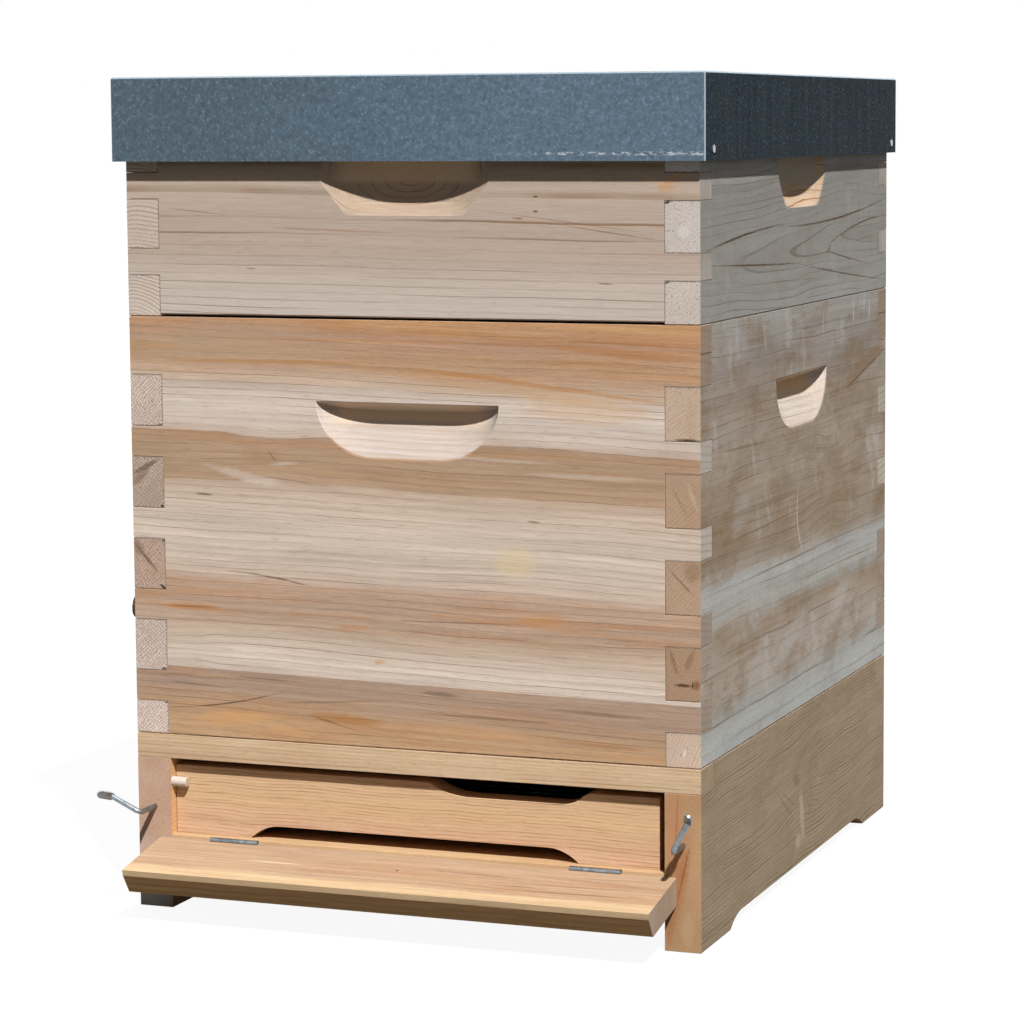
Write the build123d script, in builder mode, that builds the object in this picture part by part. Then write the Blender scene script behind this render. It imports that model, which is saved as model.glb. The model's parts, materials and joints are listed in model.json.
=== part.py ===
import math
import os

from build123d import *

os.makedirs("parts", exist_ok=True)

# Driving dimensions in millimetres. X runs to the right, -Y is the entrance side and Z is up.
# The origin is on the ground, under the middle of the boxes.
hive_width = 440.0
hive_depth = 510.0
box_wall = 26.0
edge_break = 1.0
glue_line = 0.1

# Floor: two side boards on feet, with a lapped rail across the front and the back.
floor_height = 131.0
floor_wall = 27.0
rail_height = 18.0
rail_depth = 27.0
foot_length = 70.0
foot_gap_height = 9.0
foot_curve_run = 28.0
deck_height = 55.5
sill_width = 60.0
sill_thickness = 22.0
back_board_thickness = 22.0
back_board_drop = 15.5
ledge_width = 18.0
ledge_height = 12.0
mesh_thickness = 1.0
mesh_lap = 10.0
mesh_wire_width = 0.9
mesh_pitch = 15.0
mesh_play = 0.5

# Tray under the mesh, pulled out at the back.
tray_headroom = 18.5
runner_width = 15.0
runner_height = 12.0
tray_play = 1.5
tray_lift = 0.2
tray_sheet = 1.5
tray_rim = 10.0
tray_front_gap = 6.0
strip_thickness = 12.0
strip_lap = 12.0

# Entrance block, with a slot for the bees below and a notch in its top edge.
block_thickness = 20.0
block_head_gap = 6.0
block_left_play = 0.5
block_right_play = 6.0
slot_margin = 61.0
slot_height = 10.0
slot_curve_run = 24.0
notch_margin = 55.0
notch_width = 121.0
notch_depth = 9.5
notch_left_run = 32.0
notch_right_run = 20.0
notch_lip_radius = 12.0

# Peg in the left side board, in front of the block.
peg_radius = 3.7
peg_seat = 18.0
peg_bore_spare = 0.4
peg_reach = 12.0
peg_drop = 18.0
peg_clearance = 0.05
peg_stand_off = 0.4
peg_cover = 0.2

# Landing board and its two hinges.
landing_lap = 3.5
landing_thickness = 20.0
landing_slope = 10.7
landing_nose = 4.5
landing_undercut = 6.5
landing_end_gap = 2.5
hinge_gap = 0.4
hinge_drop = 2.0
hinge_inset = 51.5
hinge_length = 38.5
leaf_thickness = 1.0
leaf_height = 16.0
knuckle_radius = 2.2
knuckle_gap = 0.3
hinge_pin_radius = 1.1
pin_clearance = 0.05

# Turn hooks of bent wire, one in the front end of each side board.
hook_wire_radius = 2.0
hook_seat = 24.0
hook_bore_spare = 1.0
hook_clearance = 1.8
hook_rise = 20.5
hook_bend_radius = 4.5
hook_finger = 25.0
hook_lip_length = 11.0
hook_lip_width = 6.0
hook_lip_thickness = 1.8
hook_lip_angle = 50.0
left_hook_angle = 154.7
right_hook_angle = 63.0

# Brood box.
brood_height = 310.0
brood_first_finger = 25.0
brood_finger = 37.8
brood_finger_gap = 22.8
finger_clearance = 0.2
moon_width = 141.0
moon_height = 41.0
moon_flat = 50.0
moon_depth = 18.5
moon_drop_ends = 59.0
moon_drop_sides = 51.0

# Honey super.
super_height = 160.0
super_first_finger = 30.5
super_finger = 36.0
super_finger_gap = 19.3
super_end_gap = 1.8
scoop_width = 128.0
scoop_flat = 92.0
scoop_depth = 15.0
scoop_lip_depth = 0.4
scoop_drop = 42.5
scoop_straight = 20.0
scoop_bowl_height = 13.5
scoop_bowl_width = 106.0
scoop_bowl_depth = 11.5
scoop_lip_height = 9.5

# Frames hang by their lugs on metal rests in the rebates of the end boards.
rebate_depth = 11.0
rebate_height = 18.0
rest_sheet = 1.0
rest_rise = 4.0
rest_leg = 10.0
rest_flange = 6.0
rest_end_play = 1.0
lug_end_play = 4.0
lug_thickness = 10.0
bar_thickness = 10.0
frame_end_space = 11.5
frame_foot_space = 6.0
frame_play = 1.0
top_bar_width = 25.0
top_bar_rib = 10.0
side_bar_width = 25.0
shoulder_taper = 18.0
bottom_bar_width = 20.0
frame_wall_space = 6.5
brood_frame_count = 10
brood_shoulder = 95.0
super_frame_count = 9
super_shoulder = 48.0

# Crown board.
crown_rim_thickness = 5.0
crown_rim_width = 26.0
crown_panel_thickness = 8.0
feed_hole_radius = 40.0
feed_step = 5.0
feed_step_depth = 4.0
plug_clearance = 0.3

# Roof of folded steel sheet.
roof_sheet_thickness = 0.8
roof_play_across = 6.0
roof_play_along = 6.0
roof_forward = 2.7
roof_skirt = 60.8
roof_bend_radius = 1.6
roof_hem = 8.0
roof_flap = 30.0
rivet_inset = 17.0
rivet_lift = 8.0
rivet_shank_radius = 1.5
rivet_head_radius = 2.8
rivet_head_height = 0.9
rivet_clearance = 0.05

# How far a cutting tool runs past the face that it opens.
run_out = 5.0

# Places worked out from the sizes above.
half_width = hive_width / 2
half_depth = hive_depth / 2
floor_inner = half_width - floor_wall
box_inner_x = half_width - box_wall
box_inner_y = half_depth - box_wall
rail_base = floor_height - rail_height
brood_base = floor_height
brood_top = brood_base + brood_height
super_top = brood_top + super_height
panel_base = super_top + crown_rim_thickness
crown_top = panel_base + crown_panel_thickness
sill_back = sill_width - half_depth
back_face = half_depth - strip_thickness
back_board_front = back_face - back_board_thickness
back_board_base = deck_height - back_board_drop
mesh_base = deck_height - mesh_thickness
ledge_base = mesh_base - ledge_height
runner_top = ledge_base - tray_headroom
tray_base = runner_top + tray_lift
block_setback = peg_cover + 2 * peg_radius + peg_stand_off
block_front = block_setback - half_depth
peg_y = block_front - peg_stand_off - peg_radius
peg_z = rail_base - peg_drop
hook_x = floor_inner + floor_wall / 2
hook_z = deck_height + hook_rise
hinge_y = -half_depth - hinge_gap / 2
hinge_z = deck_height - hinge_drop
landing_half = hook_x - hook_wire_radius - landing_end_gap
landing_length = rail_base - hinge_z + landing_lap
up = Vector(0, 0, 1)
walls = {
    "front": (Vector(0, -1, 0), half_depth),
    "back": (Vector(0, 1, 0), half_depth),
    "left": (Vector(-1, 0, 0), half_width),
    "right": (Vector(1, 0, 0), half_width),
}


def save(builder, name):
    builder.part.label = name
    export_step(builder.part, f"parts/{name}.step")


def span_box(x_span, y_span, z_span, mode=Mode.ADD):
    # A box between two values on each axis.
    spans = (x_span, y_span, z_span)
    middle = tuple((low + high) / 2 for low, high in spans)
    size = tuple(high - low for low, high in spans)
    with Locations(middle):
        Box(*size, mode=mode)


def rod_along_x(radius, x_span, y, z, mode=Mode.ADD):
    low, high = x_span
    with Locations(Location(((low + high) / 2, y, z), (0, 90, 0))):
        Cylinder(radius, high - low, mode=mode)


# Floor side board: the outline is drawn on the YZ plane and given the board's thickness.
def floor_side(name, side):
    inner_x = side * floor_inner
    outer_x = side * half_width
    foot_end = half_depth - foot_length
    curve_top = foot_end - foot_curve_run
    lap_y = half_depth - rail_depth
    with BuildPart() as board:
        with BuildSketch(Plane.YZ.offset(min(inner_x, outer_x))):
            with BuildLine():
                Line((-curve_top, foot_gap_height), (curve_top, foot_gap_height))
                TangentArc((curve_top, foot_gap_height), (foot_end, 0), tangent=(1, 0))
                Polyline(
                    (foot_end, 0),
                    (half_depth, 0),
                    (half_depth, rail_base),
                    (lap_y, rail_base),
                    (lap_y, floor_height),
                    (-lap_y, floor_height),
                    (-lap_y, rail_base),
                    (-half_depth, rail_base),
                    (-half_depth, 0),
                    (-foot_end, 0),
                )
                TangentArc((-curve_top, foot_gap_height), (-foot_end, 0), tangent=(-1, 0))
            make_face()
        extrude(amount=floor_wall)
        with Locations(Plane(origin=(side * hook_x, -half_depth, hook_z), z_dir=(0, -1, 0))):
            Hole(hook_wire_radius + pin_clearance, hook_seat + hook_bore_spare)
        if side < 0:
            with Locations(Plane(origin=(inner_x, peg_y, peg_z), z_dir=(1, 0, 0))):
                Hole(peg_radius + peg_clearance, peg_seat + peg_bore_spare)
    save(board, name)


floor_side("floor_left_side", -1)
floor_side("floor_right_side", 1)

with BuildPart() as front_rail:
    span_box((-half_width, half_width), (-half_depth, rail_depth - half_depth), (rail_base, floor_height))
save(front_rail, "floor_front_rail")

with BuildPart() as back_rail:
    span_box((-half_width, half_width), (half_depth - rail_depth, half_depth), (rail_base, floor_height))
save(back_rail, "floor_back_rail")

# Front sill: the hinges are let into its front face and the mesh lies in a rebate along its back.
hinge_centres = (hinge_inset - floor_inner, floor_inner - hinge_inset)
gain_half = hinge_length / 2 + knuckle_gap
gain_floor = hinge_z - leaf_height - knuckle_gap
with BuildPart() as front_sill:
    sill_z = (deck_height - sill_thickness, deck_height)
    span_box((-floor_inner, floor_inner), (-half_depth, sill_back), sill_z)
    span_box(
        (-floor_inner, floor_inner),
        (sill_back - mesh_lap, sill_back),
        (mesh_base, deck_height),
        Mode.SUBTRACT,
    )
    for centre in hinge_centres:
        gain = (centre - gain_half, centre + gain_half)
        span_box(gain, (-half_depth, leaf_thickness - half_depth), (gain_floor, deck_height), Mode.SUBTRACT)
        rod_along_x(knuckle_radius + knuckle_gap, gain, hinge_y, hinge_z, Mode.SUBTRACT)
save(front_sill, "floor_front_sill")

with BuildPart() as back_board:
    span_box((-floor_inner, floor_inner), (back_board_front, back_face), (back_board_base, rail_base))
save(back_board, "floor_back_board")

# Ledges on three sides carry the edge of the mesh.
ledge_inner = floor_inner - ledge_width
with BuildPart() as mesh_ledges:
    ledge_z = (ledge_base, mesh_base)
    for side in (-1, 1):
        ledge_x = sorted((side * floor_inner, side * ledge_inner))
        span_box(ledge_x, (sill_back, back_board_front), ledge_z)
    back_ledge_half = ledge_inner - glue_line
    span_box((-back_ledge_half, back_ledge_half), (back_board_front - ledge_width, back_board_front), ledge_z)
save(mesh_ledges, "mesh_ledges")

# Mesh floor: welded wires in two layers, the lengthwise ones below and the cross ones on top.
mesh_front = sill_back - mesh_lap + mesh_play
mesh_back = back_board_front - mesh_play
mesh_half = floor_inner - mesh_play
wire_height = (mesh_thickness - glue_line) / 2
long_wires = int(2 * mesh_half // mesh_pitch)
cross_wires = int((mesh_back - mesh_front) // mesh_pitch)
with BuildPart() as floor_mesh:
    with Locations((0, (mesh_front + mesh_back) / 2, mesh_base + wire_height / 2)):
        with GridLocations(mesh_pitch, 0, long_wires, 1):
            Box(mesh_wire_width, mesh_back - mesh_front, wire_height)
    with Locations((0, (mesh_front + mesh_back) / 2, deck_height - wire_height / 2)):
        with GridLocations(0, mesh_pitch, 1, cross_wires):
            Box(2 * mesh_half, mesh_wire_width, wire_height)
save(floor_mesh, "floor_mesh")

with BuildPart() as tray_runners:
    for side in (-1, 1):
        runner_x = sorted((side * floor_inner, side * (floor_inner - runner_width)))
        span_box(runner_x, (sill_back, back_face), (runner_top - runner_height, runner_top))
save(tray_runners, "tray_runners")

# Tray: a shallow folded pan behind a wooden strip that closes the slot under the back board.
tray_half = floor_inner - tray_play
tray_front = sill_back + tray_front_gap
with BuildPart() as tray_pan:
    span_box((-tray_half, tray_half), (tray_front, back_face), (tray_base, tray_base + tray_rim))
    span_box(
        (tray_sheet - tray_half, tray_half - tray_sheet),
        (tray_front + tray_sheet, back_face - tray_sheet),
        (tray_base + tray_sheet, tray_base + tray_rim + run_out),
        Mode.SUBTRACT,
    )
save(tray_pan, "tray_pan")

with BuildPart() as tray_strip:
    span_box((-tray_half, tray_half), (back_face, half_depth), (tray_base, back_board_base + strip_lap))
    chamfer(tray_strip.edges().filter_by(Axis.X).group_by(Axis.Y)[-1].sort_by(Axis.Z)[-1], edge_break)
save(tray_strip, "tray_strip")

# Entrance block: the outline is drawn on the front face and extruded towards the back.
block_low_x = block_left_play - floor_inner
block_high_x = floor_inner - block_right_play
block_top = rail_base - block_head_gap
slot_top = deck_height + slot_height
slot_left = block_low_x + slot_margin
slot_right = block_high_x - slot_margin
notch_floor = block_top - notch_depth
notch_right = block_high_x - notch_margin
notch_left = notch_right - notch_width
with BuildPart() as entrance_block:
    with BuildSketch(Plane(origin=(0, block_front, 0), x_dir=(1, 0, 0), z_dir=(0, -1, 0))):
        with BuildLine():
            slot_roof = Line((slot_left + slot_curve_run, slot_top), (slot_right - slot_curve_run, slot_top))
            TangentArc(slot_roof @ 1, (slot_right, deck_height), tangent=(1, 0))
            Polyline(
                (slot_right, deck_height),
                (block_high_x, deck_height),
                (block_high_x, block_top),
                (notch_right, block_top),
            )
            notch_base = Line(
                (notch_left + notch_left_run, notch_floor),
                (notch_right - notch_right_run, notch_floor),
            )
            TangentArc(notch_base @ 1, (notch_right, block_top), tangent=(1, 0))
            TangentArc(notch_base @ 0, (notch_left, block_top), tangent=(-1, 0))
            Polyline(
                (notch_left, block_top),
                (block_low_x, block_top),
                (block_low_x, deck_height),
                (slot_left, deck_height),
            )
            TangentArc(slot_roof @ 0, (slot_left, deck_height), tangent=(-1, 0))
        make_face()
    extrude(amount=-block_thickness)
    top_corners = entrance_block.edges().filter_by(Axis.Y).group_by(Axis.Z)[-1].sort_by(Axis.X)
    fillet(top_corners[1:3], notch_lip_radius)
save(entrance_block, "entrance_block")

with BuildPart() as block_peg:
    rod_along_x(peg_radius, (-floor_inner - peg_seat, peg_reach - floor_inner), peg_y, peg_z)
    chamfer(block_peg.edges().filter_by(GeomType.CIRCLE).sort_by(Axis.X)[-1], edge_break / 2)
save(block_peg, "block_peg")

# Landing board, open: its top falls away from the hinge and its rear edge is cut upright, so that
# it bears on the front ends of the side boards.
slope = math.radians(landing_slope)


def landing_point(along, down):
    # A point of the board's section: along its top from the hinge, and square down from the top.
    return (
        hinge_y - along * math.cos(slope) + down * math.sin(slope),
        hinge_z - along * math.sin(slope) - down * math.cos(slope),
    )


rear_face = -half_depth - hinge_gap
rear_top = hinge_gap / 2 / math.cos(slope)
rear_bottom = (hinge_gap / 2 + landing_thickness * math.sin(slope)) / math.cos(slope)
with BuildPart() as landing_board:
    with BuildSketch(Plane.YZ.offset(-landing_half)):
        with BuildLine():
            Polyline(
                landing_point(rear_top, 0),
                landing_point(landing_length, 0),
                landing_point(landing_length, landing_nose),
                landing_point(landing_length - landing_undercut, landing_thickness),
                landing_point(rear_bottom, landing_thickness),
                close=True,
            )
        make_face()
    extrude(amount=2 * landing_half)
    for centre in hinge_centres:
        gain = (centre - gain_half, centre + gain_half)
        leaf_y = (rear_face - leaf_thickness, rear_face + run_out)
        span_box(gain, leaf_y, (gain_floor, hinge_z), Mode.SUBTRACT)
        rod_along_x(knuckle_radius + knuckle_gap, gain, hinge_y, hinge_z, Mode.SUBTRACT)
save(landing_board, "landing_board")


# Butt hinge: the fixed leaf has the two outer knuckles and the moving leaf the middle one.
def hinge_leaf(name, centre, leaf_y, own_knuckles, other_knuckles):
    leaf_x = (centre - half_hinge, centre + half_hinge)
    with BuildPart() as leaf:
        span_box(leaf_x, leaf_y, (hinge_z - leaf_height, hinge_z))
        for low, high in other_knuckles:
            room = (centre + low - knuckle_gap / 2, centre + high + knuckle_gap / 2)
            rod_along_x(knuckle_radius + knuckle_gap, room, hinge_y, hinge_z, Mode.SUBTRACT)
        for low, high in own_knuckles:
            barrel = (centre + low + knuckle_gap / 2, centre + high - knuckle_gap / 2)
            rod_along_x(knuckle_radius, barrel, hinge_y, hinge_z)
        rod_along_x(hinge_pin_radius + pin_clearance, leaf_x, hinge_y, hinge_z, Mode.SUBTRACT)
    save(leaf, name)


half_hinge = hinge_length / 2
outer_knuckles = [(-half_hinge, -half_hinge / 2), (half_hinge / 2, half_hinge)]
middle_knuckle = [(-half_hinge / 2, half_hinge / 2)]
fixed_leaf_y = (-half_depth, leaf_thickness - half_depth)
moving_leaf_y = (rear_face - leaf_thickness, rear_face)
for side_name, centre in zip(("left", "right"), hinge_centres):
    hinge_leaf(f"hinge_fixed_leaf_{side_name}", centre, fixed_leaf_y, outer_knuckles, middle_knuckle)
    hinge_leaf(f"hinge_moving_leaf_{side_name}", centre, moving_leaf_y, middle_knuckle, outer_knuckles)
    with BuildPart() as hinge_pin:
        rod_along_x(hinge_pin_radius, (centre - half_hinge, centre + half_hinge), hinge_y, hinge_z)
    save(hinge_pin, f"hinge_pin_{side_name}")


# Turn hook: a wire that comes straight out of the board, bends along it and ends in a flat lip.
def turn_hook(name, side, angle_degrees):
    angle = math.radians(angle_degrees)
    outward = Vector(0, -1, 0)
    along = Vector(math.cos(angle), 0, math.sin(angle))
    root = Vector(side * hook_x, -half_depth, hook_z)
    leg = hinge_gap / 2 + landing_thickness + hook_clearance + hook_wire_radius
    lip_angle = math.radians(hook_lip_angle)
    lip_way = along * math.cos(lip_angle) + outward * math.sin(lip_angle)
    lip_middle = root + outward * leg + along * hook_finger + lip_way * (hook_lip_length / 2)
    across = along.cross(outward)
    with BuildPart() as hook:
        with BuildLine(Plane(origin=root, x_dir=along, z_dir=across)) as wire:
            FilletPolyline((0, -hook_seat), (0, leg), (hook_finger, leg), radius=hook_bend_radius)
        with BuildSketch(Plane(origin=wire.line @ 0, z_dir=wire.line % 0)):
            Circle(hook_wire_radius)
        sweep(path=wire.line)
        with BuildSketch(Plane(origin=lip_middle, x_dir=lip_way, z_dir=across.cross(lip_way))):
            SlotOverall(hook_lip_length + hook_lip_width / 2, hook_lip_width)
        extrude(amount=hook_lip_thickness / 2, both=True)
    save(hook, name)


turn_hook("hook_left", -1, left_hook_angle)
turn_hook("hook_right", 1, right_hook_angle)


# Half-moon grip: a cutter with elliptical ends that leans into the board and runs out through its face.
def half_moon_cutter(wall, top_z):
    outward, reach = walls[wall]
    inward = -outward
    lean = math.atan2(moon_depth, moon_height)
    setback = moon_height * math.sin(lean)
    end_run = (moon_width - moon_flat) / 2
    axis = inward * math.sin(lean) + up * math.cos(lean)
    origin = outward * reach + up * top_z
    with BuildPart() as cutter:
        with BuildSketch(Plane(origin=origin, x_dir=inward.cross(up), z_dir=axis)):
            Rectangle(moon_flat, 2 * setback)
            with Locations((-moon_flat / 2, 0), (moon_flat / 2, 0)):
                Ellipse(end_run, setback)
        extrude(amount=-(moon_height / math.cos(lean) + run_out))
    return cutter.part


# Scooped grip: an upright trough with a round back, whose lower end curves out to a straight lip.
def scoop_section(wall, z, width, depth):
    # A level slice of the grip, open towards the outside.
    outward, reach = walls[wall]
    half = width / 2
    with BuildSketch(Plane(outward * reach + up * z, x_dir=(-outward).cross(up), z_dir=up)) as section:
        with BuildLine():
            ThreePointArc((-half, 0), (0, depth), (half, 0))
            Polyline((half, 0), (half, -run_out), (-half, -run_out), (-half, 0))
        make_face()
    return section.sketch


def scoop_cutter(wall, top_z):
    trough_z = top_z - scoop_straight
    bowl_z = trough_z - scoop_bowl_height
    trough = scoop_section(wall, trough_z, scoop_width, scoop_depth)
    bowl = scoop_section(wall, bowl_z, scoop_bowl_width, scoop_bowl_depth)
    lip = scoop_section(wall, bowl_z - scoop_lip_height, scoop_flat, scoop_lip_depth)
    with BuildPart() as cutter:
        loft(sections=[trough.face(), bowl.face(), lip.face()], ruled=True)
        extrude(trough, amount=scoop_straight)
    return cutter.part


def side_fingers(height, first, finger, gap):
    # Heights at which the side boards reach through the corner. The end boards fill the rest.
    spans = [(0.0, first)]
    start = first + gap
    while start + finger <= height:
        spans.append((start, start + finger))
        start += finger + gap
    return spans


def end_fingers(height, spans):
    lows = [high for low, high in spans]
    highs = [low for low, high in spans[1:]] + [height]
    return list(zip(lows, highs))


def lower_outer_edges(board, base):
    # Edges along the foot of a board that show on the outside of the box.
    near = edge_break / 10
    foot = board.edges().filter_by(lambda edge: all(abs(v.Z - base) < near for v in edge.vertices()))
    return foot.filter_by(
        lambda edge: all(abs(abs(v.X) - half_width) < near for v in edge.vertices())
        or all(abs(abs(v.Y) - half_depth) < near for v in edge.vertices())
    )


# Front and back boards: notched for the side boards' fingers and rebated for the frame lugs.
def end_board(name, wall, base, top, spans, cutter, foot_gap):
    way = walls[wall][0].Y
    outer_y = way * half_depth
    inner_y = way * box_inner_y
    rebate_y = way * (box_inner_y + rebate_depth)
    with BuildPart() as board:
        span_box((-half_width, half_width), sorted((outer_y, inner_y)), (base + foot_gap, top))
        for low, high in spans:
            notch_z = (base + low - finger_clearance, base + high + finger_clearance)
            for side in (-1, 1):
                notch_x = sorted((side * box_inner_x, side * half_width))
                span_box(notch_x, sorted((outer_y, inner_y)), notch_z, Mode.SUBTRACT)
        span_box(
            (-box_inner_x, box_inner_x),
            sorted((inner_y, rebate_y)),
            (top - rebate_height, top),
            Mode.SUBTRACT,
        )
        add(cutter, mode=Mode.SUBTRACT)
        chamfer(lower_outer_edges(board, base + foot_gap), edge_break)
    save(board, name)


# Left and right boards: their fingers reach to the outer faces of the end boards.
def side_board(name, wall, base, top, spans, cutter):
    way = walls[wall][0].X
    wall_x = sorted((way * half_width, way * box_inner_x))
    with BuildPart() as board:
        span_box(wall_x, (-half_depth, half_depth), (base, top))
        for low, high in end_fingers(top - base, spans):
            for side in (-1, 1):
                notch_y = sorted((side * box_inner_y, side * half_depth))
                span_box(wall_x, notch_y, (base + low, base + high), Mode.SUBTRACT)
        add(cutter, mode=Mode.SUBTRACT)
        chamfer(lower_outer_edges(board, base), edge_break)
    save(board, name)


# Frame rests: a strip along each rebate, with its upper edge turned over towards the wall.
def frame_rests(name, box_top):
    rest_half = box_inner_x - rest_end_play
    ledge_z = box_top - rebate_height
    crest = ledge_z + rest_rise
    with BuildPart() as rests:
        for way in (-1, 1):
            upright_y = sorted((way * box_inner_y, way * (box_inner_y - rest_sheet)))
            flange_y = sorted((way * (box_inner_y - rest_sheet), way * (box_inner_y + rest_flange)))
            span_box((-rest_half, rest_half), upright_y, (ledge_z - rest_leg, crest))
            span_box((-rest_half, rest_half), flange_y, (crest - rest_sheet, crest))
    save(rests, name)


# Hanging frame: a top bar with lugs, two side bars and a bottom bar, with glue lines between them.
def hanging_frame(name, x, box_base, box_top, shoulder_width, shoulder_height):
    rest_top = box_top - rebate_height + rest_rise
    low = box_base + frame_foot_space
    side_top = rest_top - glue_line
    lug_end = box_inner_y + rebate_depth - lug_end_play
    side_outer = box_inner_y - frame_end_space
    side_inner = side_outer - bar_thickness
    rib_end = side_inner - glue_line
    half_top = top_bar_width / 2
    half_bottom = bottom_bar_width / 2
    half_bar = side_bar_width / 2
    half_shoulder = shoulder_width / 2
    shoulder_z = side_top - shoulder_height
    taper_z = shoulder_z - shoulder_taper
    with BuildPart() as frame:
        span_box((x - half_top, x + half_top), (-lug_end, lug_end), (rest_top, rest_top + lug_thickness))
        span_box((x - half_top, x + half_top), (-rib_end, rib_end), (rest_top - top_bar_rib, rest_top))
        span_box((x - half_bottom, x + half_bottom), (-rib_end, rib_end), (low, low + bar_thickness))
        for bar_y in (-side_outer, side_inner):
            with BuildSketch(Plane(origin=(x, bar_y, 0), x_dir=(1, 0, 0), z_dir=(0, -1, 0))):
                with BuildLine():
                    Polyline(
                        (-half_bar, low),
                        (half_bar, low),
                        (half_bar, taper_z),
                        (half_shoulder, shoulder_z),
                        (half_shoulder, side_top),
                        (-half_shoulder, side_top),
                        (-half_shoulder, shoulder_z),
                        (-half_bar, taper_z),
                        close=True,
                    )
                make_face()
            extrude(amount=-bar_thickness)
    save(frame, name)


# A row of frames that share out the width of the box. Their shoulders almost touch.
def frame_row(name, count, box_base, box_top, shoulder_height):
    pitch = 2 * (box_inner_x - frame_wall_space) / count
    for index in range(count):
        x = (index - (count - 1) / 2) * pitch
        frame_name = f"{name}_{index + 1:02d}"
        hanging_frame(frame_name, x, box_base, box_top, pitch - frame_play, shoulder_height)


# Brood box.
brood_spans = side_fingers(brood_height, brood_first_finger, brood_finger, brood_finger_gap)
for wall in ("front", "back"):
    cutter = half_moon_cutter(wall, brood_top - moon_drop_ends)
    end_board(f"brood_{wall}", wall, brood_base, brood_top, brood_spans, cutter, 0.0)
for wall in ("left", "right"):
    cutter = half_moon_cutter(wall, brood_top - moon_drop_sides)
    side_board(f"brood_{wall}", wall, brood_base, brood_top, brood_spans, cutter)
frame_rests("brood_frame_rests", brood_top)
frame_row("brood_frame", brood_frame_count, brood_base, brood_top, brood_shoulder)

# Honey super. Its end boards stop a little short of the box below.
super_spans = side_fingers(super_height, super_first_finger, super_finger, super_finger_gap)
for wall in ("front", "back"):
    cutter = scoop_cutter(wall, super_top - scoop_drop)
    end_board(f"super_{wall}", wall, brood_top, super_top, super_spans, cutter, super_end_gap)
for wall in ("left", "right"):
    cutter = scoop_cutter(wall, super_top - scoop_drop)
    side_board(f"super_{wall}", wall, brood_top, super_top, super_spans, cutter)
frame_rests("super_frame_rests", super_top)
frame_row("super_frame", super_frame_count, brood_top, super_top, super_shoulder)

# Crown board: a panel on rim battens, with a stepped feed hole closed by a plug.
with BuildPart() as crown_rim:
    rim_z = (super_top, panel_base)
    rim_inner_x = half_width - crown_rim_width
    rim_inner_y = half_depth - crown_rim_width
    batten_end = rim_inner_y - glue_line
    for way in (-1, 1):
        span_box((-half_width, half_width), sorted((way * half_depth, way * rim_inner_y)), rim_z)
        span_box(sorted((way * half_width, way * rim_inner_x)), (-batten_end, batten_end), rim_z)
save(crown_rim, "crown_rim")

with BuildPart() as crown_panel:
    span_box((-half_width, half_width), (-half_depth, half_depth), (panel_base, crown_top))
    with Locations((0, 0, crown_top)):
        CounterBoreHole(feed_hole_radius - feed_step, feed_hole_radius, feed_step_depth)
save(crown_panel, "crown_panel")

with BuildPart() as feed_plug:
    with BuildSketch(Plane.XY.offset(crown_top)):
        Circle(feed_hole_radius - plug_clearance)
    extrude(amount=-feed_step_depth)
    with BuildSketch(Plane.XY.offset(crown_top - feed_step_depth)):
        Circle(feed_hole_radius - feed_step - plug_clearance)
    extrude(amount=feed_step_depth - crown_panel_thickness)
save(feed_plug, "feed_plug")

# Roof: a folded tray of sheet steel. The end skirts' flaps tuck inside the side skirts.
roof_inner_x = half_width + roof_play_across
roof_inner_y = half_depth + roof_play_along
roof_outer_x = roof_inner_x + roof_sheet_thickness
roof_outer_y = roof_inner_y + roof_sheet_thickness
roof_top = crown_top + roof_sheet_thickness
roof_base = roof_top - roof_skirt
hem_x = roof_inner_x - roof_sheet_thickness
hem_y = roof_inner_y - roof_sheet_thickness
fold_x = hem_x - roof_bend_radius
fold_y = hem_y - roof_bend_radius
rivet_z = roof_base + rivet_lift
rivet_y = roof_outer_y - rivet_inset
rivet_points = [(side, way * rivet_y - roof_forward) for side in (-1, 1) for way in (-1, 1)]


def roof_skin(half_x, half_y, top, base, radius):
    # An upright block with rounded corners and a rounded top edge, for the sheet's two faces.
    with BuildPart() as skin:
        span_box((-half_x, half_x), (-roof_forward - half_y, half_y - roof_forward), (base, top))
        fillet(skin.edges().filter_by(Axis.Z) + skin.edges().group_by(Axis.Z)[-1], radius)
    return skin.part


outer_skin = roof_skin(roof_outer_x, roof_outer_y, roof_top, roof_base, roof_bend_radius)
inner_radius = roof_bend_radius - roof_sheet_thickness
inner_skin = roof_skin(roof_inner_x, roof_inner_y, crown_top, roof_base - run_out, inner_radius)
with BuildPart() as roof_sheet:
    add(outer_skin)
    add(inner_skin, mode=Mode.SUBTRACT)
    hem_z = (roof_base, roof_base + roof_hem)
    for way in (-1, 1):
        side_x = sorted((way * hem_x, way * roof_inner_x))
        end_y = sorted((way * hem_y - roof_forward, way * roof_inner_y - roof_forward))
        span_box(side_x, (-roof_forward - fold_y, fold_y - roof_forward), hem_z)
        span_box((-fold_x, fold_x), end_y, hem_z)
        for end in (-1, 1):
            flap_y = sorted((end * fold_y - roof_forward, end * (fold_y - roof_flap) - roof_forward))
            span_box(side_x, flap_y, (roof_base, crown_top - roof_hem))
    for side, y in rivet_points:
        bore_x = sorted((side * (hem_x - run_out), side * (roof_outer_x + run_out)))
        rod_along_x(rivet_shank_radius + rivet_clearance, bore_x, y, rivet_z, Mode.SUBTRACT)
save(roof_sheet, "roof_sheet")

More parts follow.
